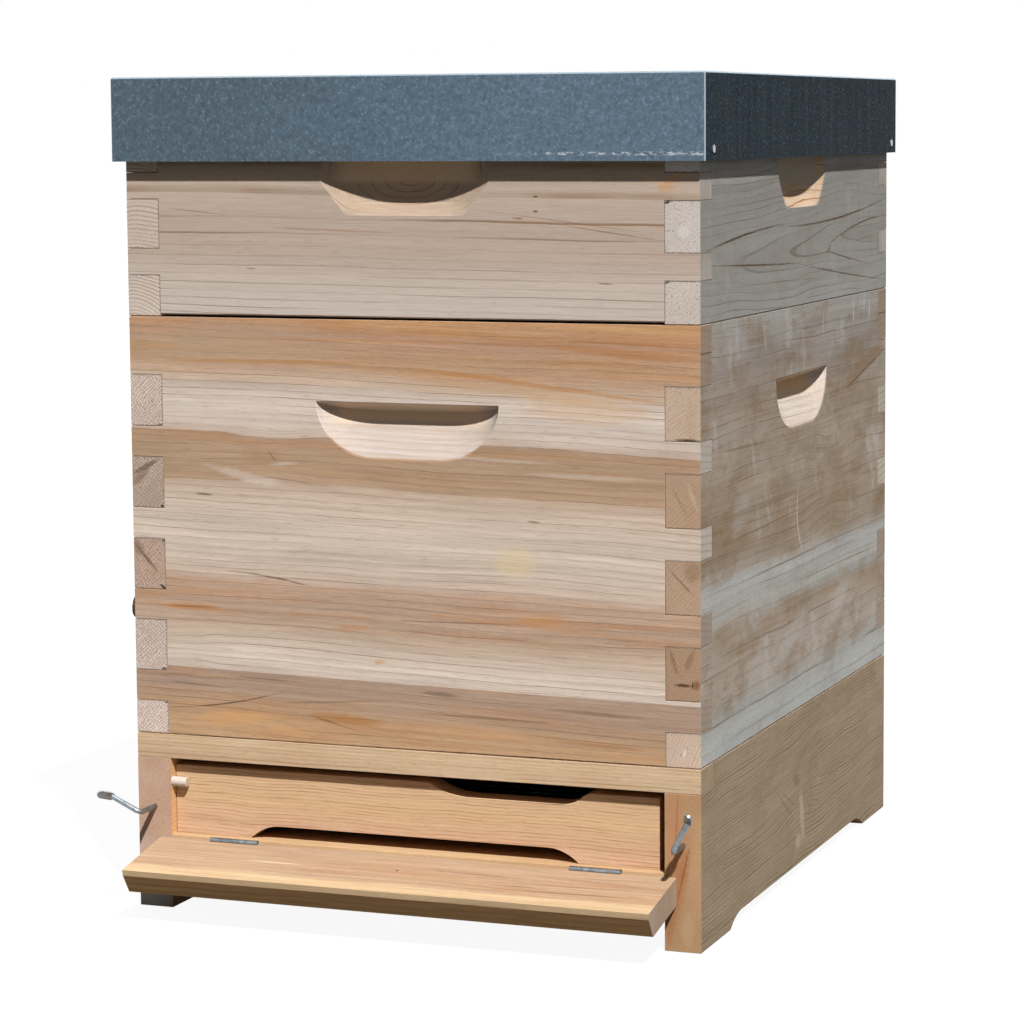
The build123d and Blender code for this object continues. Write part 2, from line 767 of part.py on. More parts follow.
# Rivets through the side skirts and the flaps: a head outside and a set head inside.
with BuildPart() as roof_rivets:
    for side, y in rivet_points:
        rod_along_x(rivet_shank_radius, sorted((side * hem_x, side * roof_outer_x)), y, rivet_z)
        outer_head = sorted((side * roof_outer_x, side * (roof_outer_x + rivet_head_height)))
        inner_head = sorted((side * hem_x, side * (hem_x - rivet_head_height)))
        rod_along_x(rivet_head_radius, outer_head, y, rivet_z)
        rod_along_x(rivet_head_radius, inner_head, y, rivet_z)
save(roof_rivets, "roof_rivets")
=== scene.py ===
import json
import math
import bpy
from mathutils import Matrix, Vector, noise

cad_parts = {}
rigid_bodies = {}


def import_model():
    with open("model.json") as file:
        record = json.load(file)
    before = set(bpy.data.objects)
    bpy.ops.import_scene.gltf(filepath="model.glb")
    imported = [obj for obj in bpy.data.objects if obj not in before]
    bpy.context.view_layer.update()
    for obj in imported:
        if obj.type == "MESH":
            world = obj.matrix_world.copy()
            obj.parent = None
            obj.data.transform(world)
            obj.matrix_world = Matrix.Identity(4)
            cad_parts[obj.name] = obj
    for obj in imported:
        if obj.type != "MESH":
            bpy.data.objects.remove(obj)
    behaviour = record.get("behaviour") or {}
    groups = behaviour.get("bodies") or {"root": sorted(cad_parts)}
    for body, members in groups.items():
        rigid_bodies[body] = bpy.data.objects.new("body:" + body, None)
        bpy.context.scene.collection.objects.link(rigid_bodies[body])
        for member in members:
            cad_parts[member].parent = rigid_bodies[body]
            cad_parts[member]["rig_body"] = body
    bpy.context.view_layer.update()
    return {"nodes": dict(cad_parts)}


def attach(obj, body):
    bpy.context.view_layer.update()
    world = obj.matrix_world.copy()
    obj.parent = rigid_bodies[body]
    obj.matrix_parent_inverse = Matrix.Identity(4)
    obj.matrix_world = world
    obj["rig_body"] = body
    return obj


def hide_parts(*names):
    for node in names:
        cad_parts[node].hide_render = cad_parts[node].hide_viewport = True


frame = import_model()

nodes = frame["nodes"]
print("frame loaded,", len(nodes), "nodes")


# camera at the photograph's place, found by fitting the corners of the boxes
cameraSettings = dict(
    place=(0.883933, -2.335386, 0.580832), yaw=20.246, pitch=-6.066, roll=-0.344, sensor=36, lens=111.832,
    shift=(-0.046875, -0.05078),
)


def addCamera(s):
    yaw, pitch, roll = (math.radians(s[key]) for key in ("yaw", "pitch", "roll"))
    ahead = Vector((-math.sin(yaw) * math.cos(pitch), math.cos(yaw) * math.cos(pitch), math.sin(pitch)))
    level = Vector((math.cos(yaw), math.sin(yaw), 0))
    upright = level.cross(ahead)
    right = math.cos(roll) * level + math.sin(roll) * upright
    top = math.cos(roll) * upright - math.sin(roll) * level
    bpy.ops.object.camera_add()
    camera = bpy.context.object
    camera.data.sensor_width = s["sensor"]
    camera.data.lens = s["lens"]
    camera.data.shift_x, camera.data.shift_y = s["shift"]
    turn = Matrix((right, top, -ahead)).transposed().to_4x4()
    camera.matrix_world = Matrix.Translation(s["place"]) @ turn
    bpy.context.scene.camera = camera


addCamera(cameraSettings)
print("camera placed")


mmPerMetre = 1000
noiseMiddle = 0.5
swingGain = 4   # noise strays by about a quarter each way
tintGain = 2   # and a random value by a half


# shader maths: sums on a Value add Math nodes
class Value:
    def __init__(self, sheet, socket):
        self.sheet = sheet
        self.socket = socket

    def sums(self, operation, *items):
        return self.sheet.node("ShaderNodeMath", {"operation": operation}, dict(enumerate(items))).out(0)

    def __add__(self, other):
        return self.sums("ADD", self, other)

    def __radd__(self, other):
        return self.sums("ADD", other, self)

    def __sub__(self, other):
        return self.sums("SUBTRACT", self, other)

    def __rsub__(self, other):
        return self.sums("SUBTRACT", other, self)

    def __mul__(self, other):
        return self.sums("MULTIPLY", self, other)

    def __rmul__(self, other):
        return self.sums("MULTIPLY", other, self)

    def __truediv__(self, other):
        return self.sums("DIVIDE", self, other)

    def __pow__(self, other):
        return self.sums("POWER", self, other)

    def __abs__(self):
        return self.sums("ABSOLUTE", self)

    def fraction(self):
        return self.sums("FRACT", self)

    def floor(self):
        return self.sums("FLOOR", self)

    def most(self, other):
        return self.sums("MAXIMUM", self, other)

    def least(self, other):
        return self.sums("MINIMUM", self, other)

    def centred(self):
        return self - noiseMiddle

    def swing(self, amount):
        return self.centred() * (swingGain * amount)

    def atLeast(self, least):
        return self * (1 - least) + least


class Made:
    def __init__(self, sheet, node):
        self.sheet = sheet
        self.node = node

    def out(self, key):
        return Value(self.sheet, self.node.outputs[key])


# a node tree, with one method that makes any node
class Sheet:
    def __init__(self, tree):
        self.tree = tree
        tree.nodes.clear()

    def node(self, kind, settings=None, sockets=None):
        made = self.tree.nodes.new(kind)
        for key, value in (settings or {}).items():
            setattr(made, key, value)
        for key, value in (sockets or {}).items():
            if isinstance(value, Value):
                self.tree.links.new(value.socket, made.inputs[key])
            else:
                made.inputs[key].default_value = value
        return Made(self, made)

    def vector(self, x, y, z):
        return self.node("ShaderNodeCombineXYZ", None, {0: x, 1: y, 2: z}).out(0)

    def split(self, vector):
        made = self.node("ShaderNodeSeparateXYZ", None, {0: vector})
        return made.out(0), made.out(1), made.out(2)

    def grown(self, vector, factor):
        return self.node("ShaderNodeVectorMath", {"operation": "SCALE"}, {0: vector, "Scale": factor}).out(0)

    def noise(self, vector, detail=2, roughness=0.5):
        sockets = {"Vector": vector, "Scale": 1, "Detail": detail, "Roughness": roughness}
        return self.node("ShaderNodeTexNoise", None, sockets).out(0)

    def smooth(self, value, low, high):
        sockets = {"Value": value, "From Min": low, "From Max": high}
        return self.node("ShaderNodeMapRange", {"interpolation_type": "SMOOTHSTEP"}, sockets).out(0)

    def chance(self, value):
        return self.node("ShaderNodeTexWhiteNoise", {"noise_dimensions": "1D"}, {"W": value})

    def mix(self, factor, first, second):
        return self.node("ShaderNodeMix", {"data_type": "RGBA"}, {0: factor, 6: first, 7: second}).out(2)

    def ramp(self, value, stops, way="LINEAR"):
        made = self.tree.nodes.new("ShaderNodeValToRGB")
        made.color_ramp.interpolation = way
        for place, colour in stops[2:]:
            made.color_ramp.elements.new(place)
        for element, (place, colour) in zip(made.color_ramp.elements, stops):
            element.position = place
            element.color = colour
        self.tree.links.new(value.socket, made.inputs[0])
        return Made(self, made)


def newFinish(name):
    material = bpy.data.materials.new(name)
    material.use_nodes = True
    return material, Sheet(material.node_tree)


def tone(text, lift=1):
    # a colour as it shows on the screen, turned to the linear one that Blender mixes
    parts = [int(text[i:i + 2], 16) / 255 for i in (0, 2, 4)]
    linear = [p / 12.92 if p <= 0.04045 else ((p + 0.055) / 1.055) ** 2.4 for p in parts]
    return tuple(min(p * lift, 0.95) for p in linear) + (1,)


def surface(sheet, colour, roughness, bumpHeight, settings):
    sockets = {"Base Color": colour, "Roughness": roughness}
    sockets.update(settings.get("sockets", {}))
    bump = {"Height": bumpHeight, "Strength": settings["bump"], "Distance": settings["bumpDepth"]}
    sockets["Normal"] = sheet.node("ShaderNodeBump", None, bump).out(0)
    shader = sheet.node("ShaderNodeBsdfPrincipled", None, sockets).out(0)
    sheet.node("ShaderNodeOutputMaterial", None, {"Surface": shader})


# wood: growth rings round a pith line that runs beside the board, so that faces, ends and cuts agree
woodBasics = dict(
    seed=1, slope=0, drift=8, driftLength=190, driftWidth=60, ripple=1, pith=(543, 120), pithRun=0,
    spacing=3, uneven=1.2, lineWidth=0.5, lineRun=85, lineTone="8d6a4b", lineAmount=0.7, soft=0.2,
    ringTint=0.05, lift=1, step=0, bandWave=5, bandSlope=0, streak=0.05, broad=0.05, medium=0.03, patch=0,
    fibre=0.08, stainTone="b98455", stain=0.6, scuffTone="cfc8c0", scuffs=0, grit=0.045, smear=0,
    smearTone="75614c", brushTone="aaa59d", dashes=0, dashTone="7a5f47", dashRun=7,
    freshTones=("cbb9a9", "bfa990"), freshLine="9a7048", freshAmount=0.6, endTones=("c9b3a0", "b79a80"),
    endLine="7d604a", endAmount=0.5, endRate=1, endLift=1, hatch=0.2, hatchAt=0, hatchMid=0, hatchPitch=1.8,
    pores=0.55, pits=0, endFrom=0, washTone="a9a6a2", wash=0, speckTone="4b3a2c", specks=0, marks=(),
    endMarks=(), knots=(), bump=0.3, bumpDepth=0.0005, sockets={"Specular IOR Level": 0.004}, seedStep=17.3,
    driftDepth=60, unevenRings=5, unevenRun=2000, eyeRipple=0.12, ringStride=5.3, lineEnd=0.4, lineStart=2.2,
    leastDark=0.25, leastFade=0.12, ragged=(0.9, 1.1, 0.9), seamRough=0.8, seamHalf=0.3, seamGap=1,
    strokeLean=0.2, washMix=0.65, dashWidth=1 / 1.2, scuffLean=0.25, freshSoft=0.12, topFade=0.75,
    endBase=1.02, endPatch=0.35, endFade=5, endRagged=0.9, leastArc=0.4, pitDark=0.7, jointShift=(22, 16),
    sawLean=(0.72, 0.7), sawRough=0.5, sawWander=2.4, crossPitch=1.2, crossShare=0.8, dirt=0.8,
    dirtRough=2.2, dirtTone="4a3a2e", gloss=(0.66, 0.2, 0.06), relief=(0.5, 0.6, 0.6),
)
# axes along the grain, across it and in depth
axesByGrain = dict(x="xzy", y="yzx", z="zxy", flatX="xyz", flatY="yxz")

# noise layers of the wood: lengths along, across and in depth in mm, detail and roughness,
# and for a layer that shows as spots the level where they start and where they are full
woodLayers = dict(
    ripple=((22, 14, 14), 2, 0.5), fibre=((20, 1 / 1.3, 1 / 1.3), 2, 0.6),
    grit=((6, 1 / 0.9, 1 / 0.9), 4, 0.75), streak=((150, 1.8, 1.8), 2, 0.6), broad=((260, 15, 15), 2, 0.5),
    patch=((110, 42, 42), 2, 0.5), medium=((85, 4.5, 4.5), 2, 0.6), rough=((8, 2.4, 5), 3, 0.6),
    shift=((55, 22, 40), 2, 0.5), drip=((120, 6.5, 6.5), 4, 0.62, 0.46, 0.62),
    blot=((48, 24, 40), 6, 0.72, 0.46, 0.62), stroke=((26, 60, 40), 5, 0.72, 0.52, 0.68),
    scuffs=((46, 1.7, 9), 2, 0.55, 0.62, 0.74), dots=((2.2, 0.9, 0.9), 1, 0.5, 0.74, 0.8),
    pores=((2, 1 / 1.1, 1 / 1.1), 3, 0.7), wander=((40, 9, 9), 2, 0.5),
    pits=((3, 1 / 0.75, 1 / 0.75), 1, 0.5, 0.63, 0.72),
)
# where each other effect starts and where it is full
woodLimits = dict(
    fade=(0.36, 0.62), soft=(0.35, 1), patch=(0.35, 0.65), strokePatch=(0.4, 0.6), wash=(0.4, 0.62),
    dash=(0.62, 0.72), under=(0.35, 0.75), eyeDepth=(1, 3), eyeEdge=(1.9, 1.3), slopedBands=(170, 225),
    arcs=(0.5, 0.92), arcEnd=(0.92, 1), teeth=(0.32, 0.05), crossTeeth=(0.26, 0.05), sawPores=(0.3, 0.65),
    dirt=(0.8, 0.1), endFace=(0.6, 0.8), front=(0, -20), facesDown=(0.2, 0.5), notFlat=(0.97, 0.9),
)


def stopsFrom(bands, lift):
    # a third value in a band, where there is one, says how far stains show there and smears keep off
    low, high = bands[0][0], bands[-1][0]
    stops = []
    for at, text, *stain in bands:
        stops.append(((at - low) / (high - low), tone(text, lift)[:3] + ((stain or [0])[0],)))
    return low, high, stops


def addMarks(sheet, colour, marks, across, up, rough, lift, where=1):
    # each mark: place across and up, half sizes, colour, amount, and its turn and bow where it has them
    for u0, v0, halfU, halfV, text, amount, *more in marks:
        turn, bow = (more + [0, 0])[:2]
        turn = math.radians(turn)
        du, dv = across - u0, up - v0
        u = (du * math.cos(turn) + dv * math.sin(turn)) / halfU
        v = (dv * math.cos(turn) - du * math.sin(turn)) / halfV
        if bow:
            v = v - u * u * (bow / halfV)
        spread = u * u + v * v + rough
        colour = sheet.mix(sheet.smooth(spread, 1, 0) * (where * amount), colour, tone(text, lift))
    return colour


# what the face, the cuts and the ends of one board share: its axes, rings and noise layers
class Board:
    def __init__(self, sheet, s):
        self.sheet = sheet
        self.s = s
        spot = sheet.node("ShaderNodeTexCoord")
        self.place = dict(zip("xyz", sheet.split(sheet.grown(spot.out("Object"), mmPerMetre))))
        self.facing = dict(zip("xyz", sheet.split(spot.out("Normal"))))
        axes = axesByGrain[s["grain"]]
        self.along, self.across, self.depth = (self.place[axis] for axis in axes)
        self.endwise = self.facing[axes[0]]
        self.seed = s["seed"] * s["seedStep"]
        self.addHeight()
        self.addRings()
        self.addLayers()

    def noise(self, lengths, along, across, detail=2, roughness=0.5):
        run, size, deep = lengths
        where = self.sheet.vector(along / run + self.seed, across / size, self.depth / deep)
        return self.sheet.noise(where, detail, roughness)

    def layer(self, name, along, across):
        lengths, detail, roughness, *limits = woodLayers[name]
        made = self.noise(lengths, along, across, detail, roughness)
        return self.sheet.smooth(made, *limits) if limits else made

    def smooth(self, name, value):
        return self.sheet.smooth(value, *woodLimits[name])

    def under(self):
        # how deep a point lies below the outer face
        axis, surfaceLevel, side = self.s["outer"]
        return (surfaceLevel - self.place[axis]) * side

    def addHeight(self):
        # the fibres wander, and go round the knots
        s, along, across = self.s, self.along, self.across
        bend = self.noise((s["driftLength"], s["driftWidth"], s["driftDepth"]), along, across, 1).centred()
        self.ripple = self.layer("ripple", along, across).centred()
        height = across + along * s["slope"] + bend * s["drift"] + self.ripple * s["ripple"]
        for knotAlong, knotAcross, halfLength, halfHeight, push in s["knots"]:
            u = (along - knotAlong) / halfLength
            v = (across - knotAcross) / halfHeight
            height = height + self.sheet.smooth(u * u + v * v, 1, 0) * v * push
        self.height = height

    def eyeRings(self, count):
        # closed rings where a recess cuts through the layers
        s = self.s
        eyeAlong, eyeAcross, halfLength, halfHeight, rings = s["eye"]
        u, v = (self.along - eyeAlong) / halfLength, (self.across - eyeAcross) / halfHeight
        far = (u * u + v * v) ** 0.5 + self.ripple * s["eyeRipple"]
        inside = self.smooth("eyeDepth", self.under()) * self.smooth("eyeEdge", far)
        return count * (1 - inside) + far * rings * inside

    def addRings(self):
        s, sheet, along, seed = self.s, self.sheet, self.along, self.seed
        pithAcross, pithDepth = s["pith"]
        rise = self.height - pithAcross
        back = self.depth - pithDepth - along * s["pithRun"]
        reach = (rise * rise + back * back) ** 0.5
        years = sheet.vector(reach / (s["spacing"] * s["unevenRings"]) + seed, seed, along / s["unevenRun"])
        count = reach / s["spacing"] + sheet.noise(years).centred() * s["uneven"]
        self.count = self.eyeRings(count) if "eye" in s else count
        self.ringNo, part = self.count.floor(), self.count.fraction()
        chance = sheet.chance(self.ringNo + seed)
        self.dark, self.tint = chance.out("Value"), sheet.split(chance.out("Color"))[1]
        runs = sheet.vector(along / s["lineRun"] + seed, self.ringNo * s["ringStride"], seed)
        fade = self.smooth("fade", sheet.noise(runs))
        width = s["lineWidth"] / s["spacing"]
        ended = 1 - sheet.smooth(part, 1 - s["lineEnd"] * width, 1)
        thin = sheet.smooth(part, 1 - s["lineStart"] * width, 1 - width) * ended
        self.soft = self.smooth("soft", part) * ended
        self.line = thin * self.dark.atLeast(s["leastDark"]) * fade.atLeast(s["leastFade"])

    def addLayers(self):
        along, across, height = self.along, self.across, self.height
        self.fibre = self.layer("fibre", along, height)
        self.grit = self.layer("grit", along, height)
        self.streak = self.layer("streak", along, height)
        self.broad = self.layer("broad", along, height)
        self.medium = self.layer("medium", along, height)
        self.patch = self.layer("patch", along, across)
        self.pores = self.layer("pores", along, across)
        self.rough = self.layer("rough", along, across).centred()
        byRough, byStreak, byMedium = self.s["ragged"]
        self.ragged = self.rough * byRough + self.streak.centred() * byStreak
        self.ragged = self.ragged + self.medium.centred() * byMedium


def twoTones(board, value, texts, lift=1):
    first, second = (tone(text, lift) for text in texts)
    return board.sheet.mix(board.smooth("patch", value), first, second)


def bandLevel(board):
    # the height at which a point reads the colour bands, which step at the rings
    s, along, across = board.s, board.along, board.across
    shift = board.layer("shift", along, across).centred()
    stepped = (board.ringNo + 0.5) * s["spacing"] + s["pith"][0]
    level = board.height * (1 - s["step"]) + stepped * s["step"] + shift * s["bandWave"]
    if s["bandSlope"]:
        level = level + along * s["bandSlope"] * board.smooth("slopedBands", across)
    if "seam" in s:
        # two planks glued edge to edge: no colour runs across the glue line
        seamAt, seamSlope = s["seam"]
        glue = across + along * seamSlope + board.rough * s["seamRough"]
        above = board.sheet.smooth(glue, seamAt - s["seamHalf"], seamAt + s["seamHalf"])
        level = above * level.most(seamAt + s["seamGap"]) + (1 - above) * level.least(seamAt - s["seamGap"])
    return level


def addSmears(board, face, free):
    # weather: brown blots, and grey strokes that cross the grain
    s, sheet, along, across = board.s, board.sheet, board.along, board.across
    blot = board.layer("blot", along, across)
    face = sheet.mix(blot * free, face, tone(s["smearTone"], s["lift"]))
    stroke = board.layer("stroke", along + across * s["strokeLean"], across)
    stroke = stroke * board.smooth("strokePatch", board.patch) * free
    return sheet.mix(stroke, face, tone(s["brushTone"], s["lift"]))


def faceColour(board):
    # outer face: colour bands or two tones, then shading, weather, ring lines and marks
    s, sheet, along, across = board.s, board.sheet, board.along, board.across
    lift, held, grit = s["lift"], 0, board.grit
    if "bands" in s:
        low, high, stops = stopsFrom(s["bands"], lift)
        bands = sheet.ramp((bandLevel(board) - low) / (high - low), stops)
        held = bands.out(1)
        stain = board.layer("drip", along, board.height) * held * s["stain"]
        face = sheet.mix(stain, bands.out(0), tone(s["stainTone"], lift))
        grit = grit.centred() * (0.5 + held) + noiseMiddle
    else:
        face = twoTones(board, board.patch, s["faceTones"], lift)
    shade = 1 + board.streak.swing(s["streak"]) + board.broad.swing(s["broad"])
    shade = shade + board.tint.centred() * (tintGain * s["ringTint"]) + board.patch.swing(s["patch"])
    shade = shade + board.medium.swing(s["medium"]) + grit.swing(s["grit"])
    face = sheet.grown(face, shade - board.soft * (board.tint * s["soft"]))
    if s["smear"]:
        face = addSmears(board, face, (1 - held) * s["smear"])
    if s["wash"]:
        cover = board.smooth("wash", board.patch * s["washMix"] + board.streak * (1 - s["washMix"]))
        face = sheet.mix(cover * s["wash"], face, tone(s["washTone"], lift))
    face = sheet.mix(board.line * s["lineAmount"], face, tone(s["lineTone"], lift))
    if s["dashes"]:
        dash = board.noise((s["dashRun"], s["dashWidth"], s["dashWidth"]), along, board.height, 1)
        face = sheet.mix(board.smooth("dash", dash) * s["dashes"], face, tone(s["dashTone"], lift))
    face = addMarks(sheet, face, s["marks"], along, across, board.ragged, lift)
    if s["scuffs"]:
        lean = s["scuffLean"]
        scratch = board.layer("scuffs", along * lean + across, along - across * lean)
        face = sheet.mix(scratch * s["scuffs"], face, tone(s["scuffTone"], lift))
    if s["specks"]:
        dots = board.layer("dots", along, across)
        face = sheet.mix(dots * s["specks"], face, tone(s["speckTone"], lift))
    return face


def addCuts(board, face):
    # clean wood under the face and in the cuts
    s, sheet = board.s, board.sheet
    fresh = twoTones(board, board.streak * 0.5 + board.broad * 0.5, s["freshTones"])
    lines = board.line * s["freshAmount"] + board.soft * s["freshSoft"]
    fresh = sheet.mix(lines, fresh, tone(s["freshLine"]))
    if "paintedGripShade" in s:
        # painted light: another tone in the shade under the upper lip of a grip, away from its ends
        topFrom, topTo, halfRun, shadeTone = s["paintedGripShade"]
        inner = sheet.smooth(abs(board.along), halfRun, halfRun * s["topFade"])
        fresh = sheet.mix(sheet.smooth(board.place["z"], topFrom, topTo) * inner, fresh, tone(shadeTone))
    return sheet.mix(board.smooth("under", board.under()), face, fresh)


def sawMarks(board, local, inward):
    # lozenges, a little different on each finger
    s = board.s
    leanUp, leanIn = s["sawLean"]
    rough = board.rough * s["sawRough"]
    wander = board.layer("wander", board.along, board.across).centred() * s["sawWander"]
    teeth = abs(local - s["hatchAt"]) * leanUp + abs(inward - s["hatchMid"]) * leanIn
    teeth = teeth / s["hatchPitch"] + rough + wander
    cross = (local * leanUp - inward * leanIn) / (s["hatchPitch"] * s["crossPitch"]) + rough - wander
    saw = board.smooth("teeth", abs(teeth.fraction().centred()))
    saw = saw.most(board.smooth("crossTeeth", abs(cross.fraction().centred())) * s["crossShare"])
    return saw * board.smooth("sawPores", board.pores)


def endColour(board):
    # end grain: the same rings, with pores, saw marks and dirt in the finger joints
    s, sheet, across, depth = board.s, board.sheet, board.across, board.depth
    endLift = s["endLift"]
    if "endBands" in s:
        low, high, stops = stopsFrom(s["endBands"], endLift)
        ends = sheet.ramp((across - low) / (high - low), stops, "CONSTANT").out(0)
        ends = sheet.grown(ends, s["endBase"] + board.patch.centred() * s["endPatch"])
    else:
        ends = twoTones(board, board.patch, s["endTones"], endLift)
    local, inward, edge = across, depth, None
    if "joints" in s:
        jointStart, period, jointWidth = s["joints"]
        turns = (board.place["z"] - jointStart) / period
        local = turns.fraction() * period
        edge = local.least(abs(local - jointWidth)).least(period - local).least(abs(depth - s["jointSide"]))
        shiftUp, shiftIn, _ = sheet.split(sheet.chance(turns.floor() + board.seed).out("Color"))
        mostUp, mostIn = s["jointShift"]
        local, inward = local + shiftUp.centred() * mostUp, depth + shiftIn.centred() * mostIn
    fine = (board.count * s["endRate"]).fraction()
    arcs = board.smooth("arcs", fine) * (1 - board.smooth("arcEnd", fine))
    lines = arcs * board.dark.atLeast(s["leastArc"]) * s["endAmount"]
    lines = lines + sawMarks(board, local, inward) * s["hatch"]
    ends = sheet.mix(lines, ends, tone(s["endLine"], endLift))
    ends = sheet.grown(ends, 1 + board.pores.centred() * s["pores"])
    if s["pits"]:
        pit = board.layer("pits", board.along, across)
        ends = sheet.mix(pit * s["pits"], ends, tone(s["endLine"], endLift * s["pitDark"]))
    if edge is not None:
        dirt = board.smooth("dirt", edge + board.pores.centred() * s["dirtRough"])
        ends = sheet.mix(dirt * s["dirt"], ends, tone(s["dirtTone"], endLift))
    ragged = board.rough * s["endRagged"] + board.pores.centred()
    atFront = board.smooth("front", board.along)
    return addMarks(sheet, ends, s["endMarks"], across, depth, ragged, endLift, atFront)


def woodFinish(name, given):
    s = dict(woodBasics, **given)
    material, sheet = newFinish(name)
    board = Board(sheet, s)
    colour = faceColour(board)
    if "outer" in s:
        colour = addCuts(board, colour)
    endFace = board.smooth("endFace", abs(board.endwise))
    if s["endFrom"]:
        # not in the grips
        endFace = endFace * sheet.smooth(abs(board.along), s["endFrom"], s["endFrom"] + s["endFade"])
    colour = sheet.mix(endFace, colour, endColour(board))
    # painted bounce light: faces that look down are tinted warmer
    if "paintedBounceTint" in s:
        tint = {0: colour, 1: s["paintedBounceTint"]}
        bounceTinted = sheet.node("ShaderNodeVectorMath", {"operation": "MULTIPLY"}, tint).out(0)
        down = -1 * board.facing["z"]
        colour = sheet.mix(board.smooth("facesDown", down) * board.smooth("notFlat", down), colour, bounceTinted)
    colour = sheet.grown(colour, 1 + board.fibre.swing(s["fibre"]))
    base, byStreak, byLine = s["gloss"]
    roughness = base + board.streak.centred() * byStreak + board.line * byLine
    fibreUp, lineDown, poresUp = s["relief"]
    relief = board.fibre * fibreUp - board.line * lineDown + endFace * board.pores * poresUp
    surface(sheet, colour, roughness, relief, s)
    return material


def dress(material, *names):
    for name in names:
        for place in nodes[name].material_slots:
            place.material = material


# boards of the brood box
broodJoints = (118.2, 60.6, 37.8)
broodFront = dict(
    grain="x", seed=2, outer=("y", -255, -1), slope=0.026, drift=9, pith=(-200, -300), spacing=5.2, uneven=1,
    lineWidth=0.4, lineTone="7a5d45", lineAmount=0.68, step=0.4, bandWave=7, soft=0.13, streak=0.085,
    medium=0.08, patch=0.025, grit=0.09, seam=(179.2, 0.019), endFrom=150, hatchAt=49.2, jointSide=-229,
    pits=0.3,
    bands=(
        (131, "c2a07e", 0.6), (141, "ba9877", 0.6), (150, "b69678", 0.5), (158, "b0947b", 0.4),
        (168, "ab9280", 0.4), (178, "ac9380", 0.4), (178.4, "ac9380", 0.4), (180, "d0bfb1"), (190, "d2c2b3"),
        (203, "ccb9a8"), (211, "c0a995"), (222, "b49a85", 0.6), (236, "b79b86", 0.7), (247, "b99c86", 0.2),
        (250, "c4ae9d"), (262, "cdbbab"), (285, "cfbeae"), (302, "ccb9a8"), (316, "c5af9c"), (320, "b3967c"),
        (334, "ad9177", 0.5), (346, "b3977e", 0.45), (353, "ae9076", 0.4), (357, "c6b3a4"), (370, "d1c2b6"),
        (386, "d0c1b5"), (396, "c5ac96"), (403, "ba9a80", 0.4), (415, "b99678", 0.8), (427, "b39078", 0.7),
        (441, "c0956d", 0.8),
    ),
    marks=(
        (-140, 423, 110, 19, "b09a82", 0.5), (158, 421.5, 56, 4.5, "ae7845", 0.55, -3),
        (175, 427, 60, 1.3, "a06a3a", 0.5, -2), (-90, 410, 125, 1.8, "b3834f", 0.6, 0.3),
        (95, 397.5, 125, 2.4, "b5804c", 0.65, -6.2), (80, 393, 110, 5, "c39c74", 0.4, -6.2),
        (20, 426, 150, 1.8, "ad7c4f", 0.5, -0.3), (134, 381, 62, 13, "cfa982", 0.5, -3),
        (135, 358, 62, 4.5, "d6c8ba", 0.5, -2), (-114, 341, 22, 9, "a5876a", 0.6, -8),
        (-106, 341, 7, 0.9, "7d5838", 0.55, -50), (-90, 337, 20, 1, "8a6646", 0.4, 4),
        (-128, 326, 40, 4.5, "d9cfc6", 0.35, -12), (-96, 336, 16, 1.6, "d9cfc6", 0.35, 6),
        (140, 333.5, 62, 2.2, "d3c6ba", 0.35, -1), (60, 344, 60, 1.6, "cdbdad", 0.4, -2),
        (-161, 311.5, 8, 1, "5a4634", 0.7, -3), (97, 300.5, 7, 0.8, "5d432c", 0.8, -4),
        (82, 271.5, 20, 15, "d9c390", 0.4), (-112, 253, 42, 1.1, "6d4e39", 0.75, -7, -2.4),
        (-174, 228, 30, 4.5, "b98250", 0.6), (-174, 228, 24, 0.8, "8a5a34", 0.7),
        (-44, 218, 22, 3.4, "b98452", 0.45, 2), (102, 230.5, 24, 5.5, "bd8856", 0.6, 3),
        (40, 226, 60, 0.7, "7a5438", 0.6, 1), (-23, 194.5, 5, 2.6, "c98f55", 0.5),
        (-146, 157, 58, 0.7, "4f3a29", 0.8, 10, 4.5), (-140, 146, 44, 7, "cf9f6e", 0.75, 4),
        (-98, 140, 24, 5, "cc9d6c", 0.6, -8), (-50, 151, 34, 4.5, "a8743f", 0.6, -6),
        (-62, 148, 22, 1, "7d5330", 0.6, -14), (58, 147, 62, 6, "c69c74", 0.45, -1),
        (150, 143, 40, 2, "a07350", 0.45, -2), (24, 173.5, 16, 2.2, "6a5645", 0.6, -3),
        (-118, 177, 34, 1.5, "76614f", 0.6, -2), (145, 166, 44, 2, "745d4a", 0.5, -2),
        (60, 158, 60, 1.2, "6b5442", 0.5, -1), (-60, 163, 50, 1.2, "7a6553", 0.5, 4),
        # the last mark on this line and the one below, near-black along the bottom edge, are painted shade
        # in the gap above the floor
        (-170, 170, 30, 1.4, "78634f", 0.5, -3), (80, 131.2, 170, 1.7, "1f150e", 0.95),
        (-130, 131.2, 90, 1.1, "3a2a1e", 0.8),
    ),
    knots=((-108, 342, 56, 24, 7), (-185, 195, 40, 22, 6)),
    endBands=(
        (131, "91867a"), (198, "8c8278"), (258, "a69f96"), (319, "a09a92"), (380, "86786a"), (441, "86786a"),
    ),
    endLift=1.22, freshTones=("c8bbb3", "beada0"), freshLine="9a7a5e", freshAmount=0.5,
    # paintedGripShade: painted light in the shaded upper part of the grips
    paintedGripShade=(363, 371, 66, "e3c9ae"), joints=broodJoints, specks=0.35, dashes=0.3, dashTone="84684f",
    dashRun=13,
)
